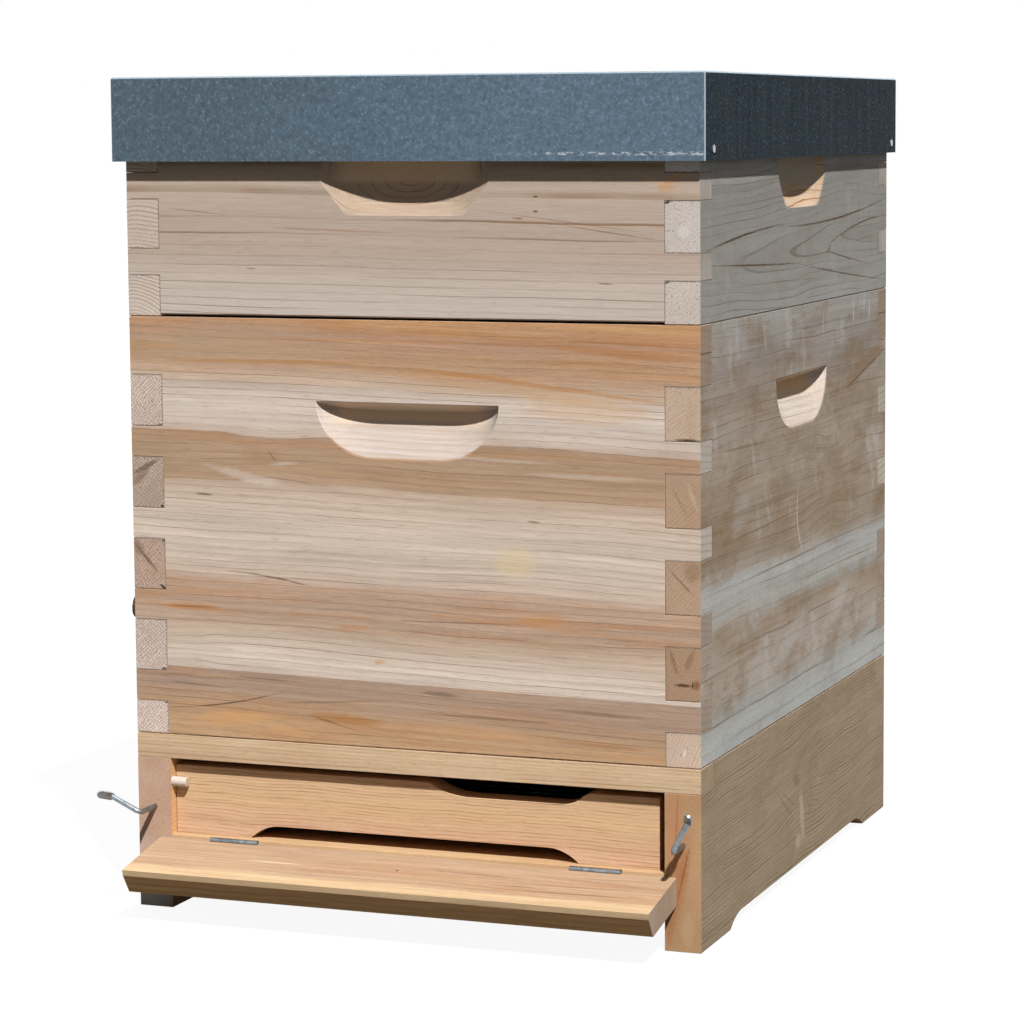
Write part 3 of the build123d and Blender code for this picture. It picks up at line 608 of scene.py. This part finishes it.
broodSide = dict(
    grain="y", seed=5, drift=9, driftLength=170, ripple=1.4, pith=(60, 420), spacing=6, uneven=1.4,
    lineWidth=0.45, lineTone="584a3b", lineAmount=0.55, lift=1.25, bandWave=6, bandSlope=0.02, soft=0.07,
    streak=0.06, broad=0.08, patch=0.07, fibre=0.09, scuffs=0.18, scuffTone="b2aea8", stain=0, smear=0.58,
    smearTone="746049", brushTone="a5a29d", lineRun=60, grit=0.15, endFrom=150, hatchAt=18.9,
    bands=(
        (131, "9b9c9a", 0.7), (154, "989894", 0.5), (171, "93897e", 0.1), (196, "938578"), (214, "8e7d6b"),
        (225, "97958f", 0.6), (246, "9a9a97", 0.7), (256, "8f8477", 0.2), (264, "867665"), (280, "84725f"),
        (308, "887663"), (339, "8b7d6f"), (370, "857769"), (403, "837a71"), (424, "837d77"), (435, "898680"),
        (441, "888480"),
    ),
    endLine="8a6b53", endRate=1.7, endAmount=0.45, freshTones=("cac1bb", "bfb0a3"), freshLine="9c7b60",
    # paintedGripShade: painted light in the shaded upper part of the grips
    freshAmount=0.5, paintedGripShade=(368, 378, 60, "dcbe9c"), wash=0.25, washTone="9c9a96", joints=broodJoints,
    dashes=0.25, dashTone="6a5b4c", dashRun=5, specks=0.3,
)
broodBack = dict(
    broodFront, seed=3, outer=("y", 255, 1), jointSide=229, slope=-0.01, pith=(-200, 300), marks=(),
    knots=((90, 300, 60, 26, 16), (-60, 190, 50, 22, 12)),
)
broodRight = dict(
    broodSide, outer=("x", 220, 1), jointSide=194, hatchMid=207,
    endBands=(
        (131, "cdb6a4"), (167.4, "a88b73"), (228, "b2977f"), (288.6, "b0947c"), (349.2, "c2ab96"),
        (441, "c2ab96"),
    ),
    endAmount=0.3, endRate=2.4, hatch=0.16, hatchPitch=2.2, pits=0.35, pores=0.8,
    marks=(
        (-12.5, 277, 36, 0.9, "c2bbb2", 0.8, 102.5, -15), (80, 296, 60, 34, "7d6a55", 0.45, 8),
        (76, 296, 24, 14, "94877a", 0.45, 10), (190, 384, 80, 9, "766049", 0.7, 11),
        (185, 378, 90, 1.1, "57452f", 0.7, 11), (-160, 300, 30, 18, "9a948d", 0.5, 20),
        (-100, 425, 1.2, 16, "a8a49e", 0.6, 8), (60, 425, 1, 18, "a8a49e", 0.6, -6),
        (150, 428, 1.4, 14, "b4b0aa", 0.7, 10), (200, 425, 1.4, 14, "b4b0aa", 0.7, -8),
        (-60, 250, 190, 0.8, "66543f", 0.6, 0.3), (120, 229, 130, 0.9, "6b5640", 0.55, -0.6),
        (-150, 347, 90, 1, "66543f", 0.5, -2), (-120, 300, 120, 4, "74624c", 0.5, 0.5),
        (-90, 284, 130, 1, "5f4d3a", 0.55, 1), (-30, 190, 60, 12, "a09a93", 0.5, 16),
        (110, 200, 40, 14, "a39e98", 0.5, 20), (-120, 205, 70, 8, "836f59", 0.5, 4),
        # the near-black line along the bottom edge, at z 131.5, is painted shade in the gap above the floor
        (90, 262, 60, 5, "85725d", 0.5, 3), (0, 131.5, 250, 0.8, "30241a", 0.85),
        (-242, 350, 9, 5, "cfc9bf", 0.7, 60),
    ),
    endMarks=(
        # the first, a near-black line at the lower edge of a finger, is a painted shadow line
        (361.5, 210, 1.6, 11, "2f231a", 0.85), (379, 212, 18, 3, "b39a82", 0.4, 4),
        (262, 206, 16, 0.9, "77583f", 0.7, -45), (270, 214, 10, 8, "8d7057", 0.6),
        (318, 205, 18, 1.2, "94775e", 0.5, -28), (322, 214, 14, 2.5, "c7b09a", 0.4, -20),
        (206, 200, 12, 2.2, "7f6048", 0.6, -16), (208, 212, 10, 3, "84664d", 0.6, 24),
        (190, 207, 1.7, 8, "533823", 0.9), (190.5, 217, 4.4, 3.4, "825a40", 0.85),
        (190.5, 214, 3.5, 0.8, "3f2a1c", 0.9), (142, 208, 5, 0.8, "f0e6dc", 0.8, 12),
    ),
    knots=((80, 300, 90, 46, 14),),
)
broodLeft = dict(
    broodSide, seed=6, outer=("x", -220, -1), jointSide=-194, hatchMid=-204, slope=0.02, pith=(60, -420),
    hatch=0.85, endLine="6d5044", endAmount=0.1, pores=1.1, pits=0.35,
    endBands=(
        (131, "e6d4c8"), (167.4, "dac8bc"), (228, "c6ad9b"), (288.6, "bba999"), (349.2, "d9c6ba"),
        (441, "d9c6ba"),
    ),
    endMarks=(
        (330, -209, 16, 2.6, "5d4637", 0.7, 62), (322, -214, 12, 4, "7a6050", 0.6, 50),
        (312, -204, 14, 8, "a58f7f", 0.4, 40), (262, -209, 15, 2, "6b5040", 0.75, -42),
        (270, -216, 9, 5, "7d6353", 0.65, -30), (252, -202, 9, 9, "b09179", 0.4),
        # the near-black spots at the corners of the fingers are painted shade in the gaps there
        (241.2, -196, 1.6, 4.4, "1d1611", 0.95, 30), (301.5, -195.5, 1.2, 2.2, "1d1611", 0.9, 20),
        (180.3, -196.5, 1.2, 3, "1d1611", 0.9), (276, -195, 1.2, 2, "2a211a", 0.85),
        (361.8, -196, 0.9, 3.4, "6b4c34", 0.8), (155, -195.5, 1, 2.2, "2a1d15", 0.8),
    ),
    knots=((-90, 290, 80, 40, 20),),
)
dress(woodFinish("broodFrontWood", broodFront), "brood_front")
dress(woodFinish("broodBackWood", broodBack), "brood_back")
dress(woodFinish("broodRightWood", broodRight), "brood_right")
dress(woodFinish("broodLeftWood", broodLeft), "brood_left")
print("brood box dressed")


# boards of the honey super
superJoints = (435.5, 55.3, 36)
superFront = dict(
    grain="x", seed=8, outer=("y", -255, -1), slope=0.012, drift=7, ripple=0.7, pith=(541, -135),
    spacing=3.1, uneven=0.7, lineWidth=0.26, lineRun=160, lineTone="80603f", lineAmount=0.74, soft=0.05,
    # paintedGripShade: painted light in the shaded upper part of the scoops
    ringTint=0.015, streak=0.035, broad=0.015, grit=0.075, paintedGripShade=(536, 542, 60, "d5bc9f"), endFrom=150,
    hatchAt=45.6, jointSide=-229, eye=(-1, 540.5, 32, 14.5, 3.2),
    # painted shade: darker from z 543 up, where the roof's shadow falls
    bands=(
        (441, "c6b9ae"), (452, "c4b7ac"), (470, "c1b2a6"), (484, "b8a698"), (505, "b5a294"), (525, "bba899"),
        (537, "bdaa9a"), (543, "b09e8b"), (601, "b09e8b"),
    ),
    marks=(
        (99.5, 529.3, 2.6, 1.1, "5f3c28", 0.85), (99.5, 519, 2.4, 1, "5f3c28", 0.85),
        (86, 514, 6, 0.8, "7a5238", 0.7, -4), (151, 469, 7, 0.7, "6b4c36", 0.75, -2),
        (204, 544, 20, 4.5, "c6996c", 0.55, 34), (196, 536, 8, 6, "c39467", 0.5),
        (185, 541, 16, 2.5, "cda883", 0.45, -20), (-120, 477, 5, 0.7, "6b4c36", 0.6),
        (-60, 505, 60, 0.8, "9a6c45", 0.5, -2), (-165, 518, 30, 0.5, "9a6c45", 0.7, -6),
        (150, 505, 50, 0.5, "84603f", 0.7, -8), (120, 512, 70, 0.4, "84603f", 0.6, -7),
        (-70, 532, 70, 3, "a99788", 0.5, 1),
    ),
    dashes=0.22, dashTone="8a7464", dashRun=11, freshTones=("b9a691", "af9986"), freshLine="7a5029",
    freshAmount=0.85, endTones=("9b9791", "8d8880"), endLift=1.24, joints=superJoints,
)
superSide = dict(
    grain="y", seed=11, slope=-0.015, drift=16, driftLength=170, ripple=1.2, pith=(484, 206), pithRun=0.035,
    spacing=5.2, uneven=1, lineWidth=0.42, lineRun=90, lineTone="5c4a38", lineAmount=0.4, lift=1.14,
    scuffs=0.2, scuffTone="a8a6a2", patch=0.03, soft=0.06, fibre=0.06, grit=0.13, smear=0.3,
    smearTone="7d766d", brushTone="9a9996", endFrom=150, hatchAt=18,
    # painted light: lighter from z 545 up, where the roof's shadow falls
    bands=(
        (441, "8c8b87"), (480, "888580"), (520, "868480"), (539, "84827e"), (545, "9a9894"), (601, "9a9894"),
    ),
    endRate=1.6, endLine="8d7560", hatch=0.25, endAmount=0.4, freshTones=("bda690", "b1967a"),
    # paintedGripShade: painted light in the shaded upper part of the scoops
    freshLine="80542c", freshAmount=0.8, paintedGripShade=(528, 540, 60, "ada496"), joints=superJoints, dashes=0.3,
    dashTone="6c655c", dashRun=5,
)
superBack = dict(superFront, seed=9, outer=("y", 255, 1), jointSide=229, pith=(520, 375), marks=())
superRight = dict(
    superSide, outer=("x", 220, 1), jointSide=194, hatchMid=207, lineAmount=0.5,
    endBands=((441, "cbc0b6"), (481, "cac1ba"), (536.4, "dad4cf"), (601, "dad4cf")), endAmount=0.1, pits=0.6,
    pores=0.8, hatch=0.3,
    endMarks=(
        # the two near-black spots at the corners of the joints are painted shade in the gaps there
        (525.5, 196, 1.3, 3.2, "1d1611", 0.9, -20), (470.5, 196, 1, 3, "1d1611", 0.9, -20),
        (505, 208, 5, 5, "ece8e4", 0.4), (505, 208, 3.6, 3.6, "c9c0b8", 0.6),
    ),
    marks=(
        (-150, 499.8, 120, 1.3, "4a3825", 0.9, 4, -3.8), (105, 504.5, 178, 1.2, "4f3d2a", 0.85, 2.8, 7),
        (-115, 476.5, 140, 1.1, "4f3d2a", 0.85, -1.9, 1), (127, 459.2, 165, 0.8, "54412f", 0.8, -5.2, 1.6),
        (157, 497.2, 118, 0.9, "54412f", 0.8, 5.9, -8), (134, 471.4, 84, 0.8, "54412f", 0.75, -6.8, 0.8),
        (76, 481, 10, 3, "6a563f", 0.6, 20), (190, 486, 60, 0.6, "6a5a48", 0.6, 2, -2),
        (-130, 575, 90, 0.5, "6a5a48", 0.6, 2, 2), (100, 572, 130, 0.5, "6a5a48", 0.6, 2, -3),
        (-60, 462, 160, 0.5, "6a5a48", 0.6, -1, -2), (-40, 540, 180, 0.5, "5f503f", 0.6, 2.4, 2),
        # the dark line along the bottom edge, at z 441.4, is painted shade in the gap above the brood box
        (-60, 525, 190, 0.5, "5f503f", 0.55, 2.6, 3), (0, 441.4, 250, 0.6, "4a3626", 0.7),
    ),
)
superLeft = dict(
    superSide, seed=12, outer=("x", -220, -1), jointSide=-194, hatchMid=-204, pith=(425, -216),
    pithRun=-0.01, endAmount=0.7, endRate=1.9, hatch=0.35, pits=0.2, pores=0.75,
    endBands=((441, "cbbeb2"), (481, "cabbae"), (536.4, "c5b2a1"), (601, "c5b2a1")),
)
dress(woodFinish("superFrontWood", superFront), "super_front")
dress(woodFinish("superBackWood", superBack), "super_back")
dress(woodFinish("superRightWood", superRight), "super_right")
dress(woodFinish("superLeftWood", superLeft), "super_left")
print("honey super dressed")


# floor: side boards, rails, sill and what is inside
floorSide = dict(
    grain="y", seed=14, drift=14, driftLength=130, pith=(-60, 330), slope=-0.03, spacing=2.1, lineWidth=0.42,
    lineTone="53462f", lineAmount=0.62, lift=1.23, soft=0.14, grit=0.13, smear=0.3, smearTone="7d6c56",
    brushTone="9a8d7a", freshTones=("dab184", "d0a577"), freshLine="b98a58", faceTones=("8f7f6b", "897a66"),
    endTones=("b99672", "b08b68"), endLine="93693f", endRate=0.8, endAmount=0.08, hatch=0.1, pores=0.5,
    dashes=0.3, dashTone="5d5242",
)
floorRail = dict(
    grain="x", seed=17, grit=0.09, drift=4, ripple=0.8, pith=(40, -300), spacing=2.4, lineWidth=0.4,
    lineTone="96703f", lineAmount=0.6, soft=0.12, faceTones=("cdb394", "c7aa8b"), dashes=0.4,
    dashTone="a58462", dashRun=9, endTones=("8d7f6c", "857661"), endLift=1.35,
)
floorInner = dict(floorRail, seed=19, pith=(-40, -60), faceTones=("c9a983", "c2a07a"), endLift=1)
floorInnerLong = dict(floorInner, grain="y", seed=20)
floorRight = dict(
    floorSide, outer=("x", 220, 1), knots=((-14, 76, 95, 40, 10),),
    marks=(
        (-14, 76, 12, 6, "6b5c48", 0.5, -20), (-44, 62, 32, 1.3, "5f5140", 0.5, -33),
        (-36, 66, 24, 1, "5f5140", 0.5, -26), (12, 98, 30, 1.2, "5f5140", 0.45, 34),
        (-4, 92, 24, 1, "5f5140", 0.4, 40), (2, 45, 7, 26, "a69a89", 0.6, 12), (-8, 27, 9, 8, "a69a89", 0.5),
        (120, 110, 60, 1, "64543f", 0.4, 3),
    ),
    endMarks=(
        # these brown marks on the front end are a stain, which also stands in for part of the shadow of the
        # landing board and hook: partly painted shadow
        (86, 200, 34, 8.5, "b58463", 0.75, 2), (92, 202, 30, 1.2, "9a6846", 0.5, 3),
        (44, 202, 46, 8, "a2683f", 0.65, 13), (56, 207, 26, 1.2, "84502d", 0.6, 13),
        (12, 197, 16, 3, "a5714a", 0.4, 8), (16, 210, 14, 7, "c3a181", 0.5),
    ),
)
floorLeft = dict(
    floorSide, seed=15, outer=("x", -220, -1), pith=(-60, -330), endTones=("c6a994", "bb9a84"),
    endLine="9d7560", pores=1.1, pits=0.25, endMarks=((9, -207, 19, 20, "d6d0c5", 0.9),),
)
dress(woodFinish("floorRightWood", floorRight), "floor_right_side")
dress(woodFinish("floorLeftWood", floorLeft), "floor_left_side")
dress(woodFinish("floorRailWood", floorRail), "floor_front_rail", "floor_back_rail")
dress(woodFinish("floorInnerWood", floorInner), "floor_front_sill", "floor_back_board", "tray_strip")
dress(woodFinish("floorRunnerWood", floorInnerLong), "mesh_ledges", "tray_runners")

entranceBlock = dict(
    grain="x", seed=22, drift=5, driftLength=60, pith=(-30, -300), spacing=2.3, grit=0.08, lineWidth=0.45,
    lineTone="9c6c43", lineAmount=0.65, lineRun=30, soft=0.1, step=0.3, bandWave=6,
    bands=(
        (55, "d6b297", 0.4), (68, "d0ac8f", 0.4), (78, "cfac8b"), (88, "d0af8a"), (107, "cdac89"),
    ),
    endTones=("c79d78", "b88d68"), dashes=0.3, dashTone="b0855e",
)
landingBoard = dict(
    entranceBlock, grain="flatX", seed=23, pith=(-900, 40), spacing=3.4, lineAmount=0.4, step=0.2,
    bands=(
        (-325, "c2a784"), (-306, "c3a886"), (-303, "b2977d", 0.5), (-280, "b1957b", 0.6),
        (-255, "b0967d", 0.3),
    ),
    # the tint on its downward faces is painted warm bounce light
    stainTone="a5764c", streak=0.1, medium=0.1, grit=0.12, paintedBounceTint=(1.32, 1.12, 0.86),
    endTones=("9c8c7e", "94826f"), endLift=1.3, lineRun=70,
    marks=(
        (120, -285, 70, 2, "8d6443", 0.5, 2), (150, -275, 50, 2, "8d6443", 0.5, -2),
        (95, -291, 30, 1.2, "7a5238", 0.5), (0, -281, 1.4, 1.4, "3a2a1c", 0.9),
        (-95, -284, 30, 1.5, "d6c2ad", 0.6), (130, -296, 60, 1, "7a5238", 0.55, 1),
        (60, -277, 50, 0.9, "7a5238", 0.5, -2), (-40, -290, 60, 1, "946a48", 0.5, 1),
        (170, -268, 40, 1.2, "8d6443", 0.5, 2),
    ),
)
dress(woodFinish("entranceWood", entranceBlock), "entrance_block")
dress(woodFinish("landingWood", landingBoard), "landing_board")
pegWood = dict(
    entranceBlock, seed=25, lineAmount=0.15, pith=(95, -240), dashes=0,
    bands=((90, "d9cabf"), (100, "d3c3b6")), endTones=("cfc0ad", "c4b29c"),
)
dress(woodFinish("pegWood", pegWood), "block_peg")
print("floor dressed")


# frames inside the boxes, and the crown board
frameBars = dict(
    grain="y", seed=27, drift=5, pith=(300, 300), spacing=2.6, lineTone="b98d5c", lineAmount=0.4,
    faceTones=("d8bd95", "cfb085"), endTones=("d0b18a", "c39f74"),
)
crownBoard = dict(
    frameBars, grain="flatX", seed=29, pith=(0, 500), spacing=3.5, faceTones=("d9bb8f", "cfae80"),
)
frameNames = [name for name in nodes if "_frame_" in name and not name.endswith("rests")]
dress(woodFinish("frameWood", frameBars), *frameNames)
dress(woodFinish("crownWood", crownBoard), "crown_panel", "crown_rim", "feed_plug")
print("frames and crown board dressed")


# boards with rubbed edges: each is a copy of its CAD node, bevelled a little more here than there
wornEdges = dict(
    width=0.0008, least=0.3, sharp=20, segments=2, grain=55, smooth=35, weld=0.000005, flatAngle=0.5,
    faceWeight=100,
)
wornBoards = {
    "brood_front": "broodFrontBoard", "brood_back": "broodBackBoard",
    "brood_left": "broodLeftBoard", "brood_right": "broodRightBoard",
    "super_front": "superFrontBoard", "super_back": "superBackBoard",
    "super_left": "superLeftBoard", "super_right": "superRightBoard",
    "floor_left_side": "floorLeftBoard", "floor_right_side": "floorRightBoard",
    "floor_front_rail": "floorFrontRail", "floor_back_rail": "floorBackRail",
    "floor_front_sill": "floorFrontSill", "floor_back_board": "floorBackBoard", "tray_strip": "trayStrip",
    "entrance_block": "entranceBlock", "landing_board": "landingBoard",
    "crown_panel": "crownPanel", "crown_rim": "crownRim", "feed_plug": "feedPlug",
}


def wornBoard(nodeName, pieceName, s):
    source = nodes[nodeName]
    piece = bpy.data.objects.new(pieceName, source.data.copy())
    bpy.context.scene.collection.objects.link(piece)
    bpy.ops.object.select_all(action="DESELECT")
    piece.select_set(True)
    bpy.context.view_layer.objects.active = piece
    bpy.ops.mesh.customdata_custom_splitnormals_clear()
    bpy.ops.object.mode_set(mode="EDIT")
    bpy.ops.mesh.select_mode(type="EDGE")
    bpy.ops.mesh.select_all(action="SELECT")
    bpy.ops.mesh.remove_doubles(threshold=s["weld"])
    bpy.ops.mesh.dissolve_limited(angle_limit=math.radians(s["flatAngle"]))
    bpy.ops.mesh.select_all(action="DESELECT")
    bpy.ops.mesh.edges_select_sharp(sharpness=math.radians(s["sharp"]))
    bpy.ops.object.mode_set(mode="OBJECT")
    mesh = piece.data
    weights = mesh.attributes.new("bevel_weight_edge", "FLOAT", "EDGE")
    for edge in mesh.edges:
        if edge.select:
            middle = (mesh.vertices[edge.vertices[0]].co + mesh.vertices[edge.vertices[1]].co) / 2
            chance = 0.5 + 0.5 * noise.noise(middle * s["grain"])
            weights.data[edge.index].value = s["least"] + (1 - s["least"]) * chance
    bevel = piece.modifiers.new("rubbedEdges", "BEVEL")
    bevel.limit_method = "WEIGHT"
    bevel.width = s["width"]
    bevel.segments = s["segments"]
    bpy.ops.object.modifier_apply(modifier=bevel.name)
    bpy.ops.object.shade_smooth_by_angle(angle=math.radians(s["smooth"]))
    flat = piece.modifiers.new("flatFaces", "WEIGHTED_NORMAL")   # the wide faces stay flat, the bevels turn
    flat.weight = s["faceWeight"]
    flat.keep_sharp = True
    bpy.ops.object.modifier_apply(modifier=flat.name)
    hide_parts(nodeName)
    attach(piece, source["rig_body"])


for nodeName, pieceName in wornBoards.items():
    wornBoard(nodeName, pieceName, wornEdges)
print("edges of", len(wornBoards), "boards rubbed")


# a ragged knot that stands out of the left front edge of the brood box
edgeKnot = dict(
    place=(-0.2212, -0.2502, 0.2246), halves=(0.0026, 0.0046, 0.0082), rough=0.0011, seed=4, subdivisions=4,
    smoothing=0.5, rounds=2,
)
knotWood = dict(
    broodLeft, endBands=((131, "4a3b30"), (441, "4a3b30")), faceTones=("5a483a", "4a3b30"), lift=1,
)
knotWood.pop("bands")
knotWood.pop("outer")
knotWood.pop("joints")


def addEdgeKnot(s, finish):
    bpy.ops.object.select_all(action="DESELECT")
    bpy.ops.mesh.primitive_ico_sphere_add(subdivisions=s["subdivisions"], radius=1)
    piece = bpy.context.object
    piece.name = "edgeKnot"
    bpy.ops.object.mode_set(mode="EDIT")
    bpy.ops.mesh.select_all(action="SELECT")
    bpy.ops.transform.resize(value=s["halves"])
    bpy.ops.transform.vertex_random(offset=s["rough"], seed=s["seed"])
    bpy.ops.mesh.vertices_smooth(factor=s["smoothing"], repeat=s["rounds"])
    bpy.ops.transform.translate(value=s["place"])
    bpy.ops.object.mode_set(mode="OBJECT")
    piece.data.materials.append(finish)
    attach(piece, "brood_box")


addEdgeKnot(edgeKnot, woodFinish("knotWood", knotWood))
print("knot added")


# painted sheet of the roof
roofPaint = dict(
    # one paint in lit and shaded tones: the front lighter, the sides darker as painted shade, the top
    # between
    front=("54646f", "5f7080"), sides=("2a3238", "31393f"), top=("4d5b65", "525f6a"), fleckTone="8798a6",
    fleck=0.3, peel=520, mottle=1.75, faces=(0.3, 0.7), lightRun=520, lightCloud=0.45, light=(-0.1, 0.5),
    # foldHighlightTone: a painted highlight along the folds
    foldHighlightTone="a0aeb9", edge=0.85, scratchTone="c3ccd2", scratch=0.8, scratchAt=559, scratchFrom=(70, 130),
    scratchHeight=(1.8, 0.7), gloss=(0.5, 0.2), bump=0.1, bumpDepth=0.0005,
    sockets={"Specular IOR Level": 0.002},
)
# lengths along x, y and z in mm, then detail and roughness
roofLayers = dict(
    cloud=((90, 90, 40), 3, 0.6), runs=((9, 9, 160), 2, 0.6), grains=((5, 5, 5), 4, 0.7),
    nick=((4, 9, 1.25), 2, 0.6),
)


def roofFinish(name, s):
    material, sheet = newFinish(name)
    coords = sheet.node("ShaderNodeTexCoord")
    spot = coords.out("Object")
    x, y, z = sheet.split(sheet.grown(spot, mmPerMetre))
    nx, ny, nz = sheet.split(coords.out("Normal"))
    layers = {}
    for key, ((sizeX, sizeY, sizeZ), detail, roughness) in roofLayers.items():
        layers[key] = sheet.noise(sheet.vector(x / sizeX, y / sizeY, z / sizeZ), detail, roughness)
    cloud = layers["cloud"]
    peel = sheet.noise(sheet.grown(spot, s["peel"]), 2, 0.6)
    # painted light and shade by facing: the front lighter, growing lighter towards its right end, the sides
    # darker, the top between
    lit = sheet.smooth(cloud * s["lightCloud"] + x / s["lightRun"], *s["light"])
    front = sheet.mix(lit, *(tone(text) for text in s["front"]))
    sides = sheet.mix(sheet.smooth(layers["runs"], 0.35, 0.7), *(tone(text) for text in s["sides"]))
    top = sheet.mix(sheet.smooth(cloud, 0.35, 0.65), *(tone(text) for text in s["top"]))
    atFront = sheet.smooth(-1 * ny, *s["faces"])
    colour = sheet.mix(atFront, sides, front)
    colour = sheet.mix(sheet.smooth(nz, *s["faces"]), colour, top)
    colour = sheet.mix(sheet.smooth(peel, 0.58, 0.72) * s["fleck"], colour, tone(s["fleckTone"]))
    mottle = peel.centred() * 0.5 + layers["grains"].centred() * 0.5
    colour = sheet.grown(colour, 1 + mottle * s["mottle"])
    # a row of scratches low on the front
    scraped = sheet.smooth(layers["nick"], 0.5, 0.62)
    scraped = scraped * sheet.smooth(abs(z - s["scratchAt"]), *s["scratchHeight"])
    scraped = scraped * sheet.smooth(x, *s["scratchFrom"])
    colour = sheet.mix(scraped * atFront * s["scratch"], colour, tone(s["scratchTone"]))
    # painted highlight on the folds, where the surface turns
    foldHighlight = 1 - sheet.smooth(abs(nx).most(abs(ny)).most(abs(nz)), 0.86, 0.97)
    colour = sheet.mix(foldHighlight * s["edge"], colour, tone(s["foldHighlightTone"]))
    base, byCloud = s["gloss"]
    surface(sheet, colour, base + cloud.centred() * byCloud, peel, s)
    return material


dress(roofFinish("roofPaint", roofPaint), "roof_sheet")


# bare metal: zinc plated fittings, rivets and galvanised sheet
zincPlate = dict(
    tones=("7d868d", "949b9f"), grimeTone="5b5a55", grime=0.5, cloud=60, spangle=260, metal=0.9, rough=0.38,
    roughSwing=(0.12, 0.2), bump=0.08, bumpDepth=0.0003,
)
rivetSteel = dict(zincPlate, tones=("a8adb0", "bcc0c2"), rough=0.3)
galvanisedSheet = dict(zincPlate, tones=("82898e", "959b9f"), spangle=90, metal=0.6, rough=0.5)


def metalFinish(name, s):
    material, sheet = newFinish(name)
    spot = sheet.node("ShaderNodeTexCoord").out("Object")
    cells = sheet.node("ShaderNodeTexVoronoi", None, {"Vector": spot, "Scale": s["spangle"]})
    flake = sheet.split(cells.out("Color"))[0]
    cloud = sheet.noise(sheet.grown(spot, s["cloud"]), 3, 0.6)
    colour = sheet.mix(flake, *(tone(text) for text in s["tones"]))
    colour = sheet.mix(sheet.smooth(cloud, 0.5, 0.75) * s["grime"], colour, tone(s["grimeTone"]))
    byFlake, byCloud = s["roughSwing"]
    roughness = s["rough"] + flake.centred() * byFlake + cloud.centred() * byCloud
    surface(sheet, colour, roughness, cloud, s)
    sheet.tree.nodes["Principled BSDF"].inputs["Metallic"].default_value = s["metal"]
    return material


zincNames = [name for name in nodes if name.startswith(("hinge_", "hook_")) or name.endswith("_rests")]
dress(metalFinish("zincPlate", zincPlate), *zincNames)
dress(metalFinish("rivetSteel", rivetSteel), "roof_rivets")
dress(metalFinish("galvanisedSheet", galvanisedSheet), "floor_mesh", "tray_pan")
print("roof and metal dressed")


# plain pale floor and soft studio light
studio = dict(
    ambient=(0.11, 0.114, 0.12, 1), floorHalf=15, floorTone="f4f3f0", bounceTone="5c5a58", floorGlow=0.93,
    floorDrop=0.0004,
)
# turn from the front towards the right side and rise in degrees, power, spread in degrees, tint
suns = dict(
    keyLight=(38, 50, 5.2, 2, (1, 0.995, 0.985)), fillLight=(-115, 35, 1.4, 60),
    backLight=(-170, 40, 1.8, 60), sideLight=(95, 15, 0.24, 90),
)
white = (1, 1, 1, 1)
sunDistance = 4   # in metres; only the turn of a sun counts


def addSun(name, turn, rise, power, spread, tint=(1, 1, 1)):
    turn, rise = math.radians(turn), math.radians(rise)
    way = Vector((math.sin(turn) * math.cos(rise), -math.cos(turn) * math.cos(rise), math.sin(rise)))
    bpy.ops.object.light_add(type="SUN", location=way * sunDistance)
    lamp = bpy.context.object
    lamp.name = name
    lamp.rotation_euler = way.to_track_quat("Z", "Y").to_euler()
    lamp.data.energy = power
    lamp.data.angle = math.radians(spread)
    lamp.data.color = tint


def seenDirectly(sheet):
    rays = sheet.node("ShaderNodeLightPath")
    seen = rays.out("Is Camera Ray") + rays.out("Is Glossy Ray") + rays.out("Is Transmission Ray")
    return seen.least(1)


def addStudio(s):
    for name, row in suns.items():
        addSun(name, *row)
    world = bpy.data.worlds.new("studioWorld")
    world.use_nodes = True
    bpy.context.scene.world = world
    sheet = Sheet(world.node_tree)
    soft = sheet.node("ShaderNodeBackground", None, {"Color": s["ambient"]}).out(0)
    bright = sheet.node("ShaderNodeBackground", None, {"Color": white}).out(0)
    both = sheet.node("ShaderNodeMixShader", None, {0: seenDirectly(sheet), 1: soft, 2: bright}).out(0)
    sheet.node("ShaderNodeOutputWorld", None, {"Surface": both})

    bpy.ops.mesh.primitive_plane_add(size=2 * s["floorHalf"], location=(0, 0, -s["floorDrop"]))
    ground = bpy.context.object
    ground.name = "studioFloor"
    material, sheet = newFinish("studioFloor")
    seen = sheet.mix(seenDirectly(sheet), tone(s["bounceTone"]), tone(s["floorTone"]))
    matt = sheet.node("ShaderNodeBsdfDiffuse", None, {"Color": seen}).out(0)
    glow = sheet.node("ShaderNodeEmission", None, {"Color": white}).out(0)
    amount = seenDirectly(sheet) * s["floorGlow"]
    both = sheet.node("ShaderNodeMixShader", None, {0: amount, 1: matt, 2: glow}).out(0)
    sheet.node("ShaderNodeOutputMaterial", None, {"Surface": both})
    ground.data.materials.append(material)
    bpy.context.scene.view_settings.view_transform = "Standard"


addStudio(studio)
print("studio lit")
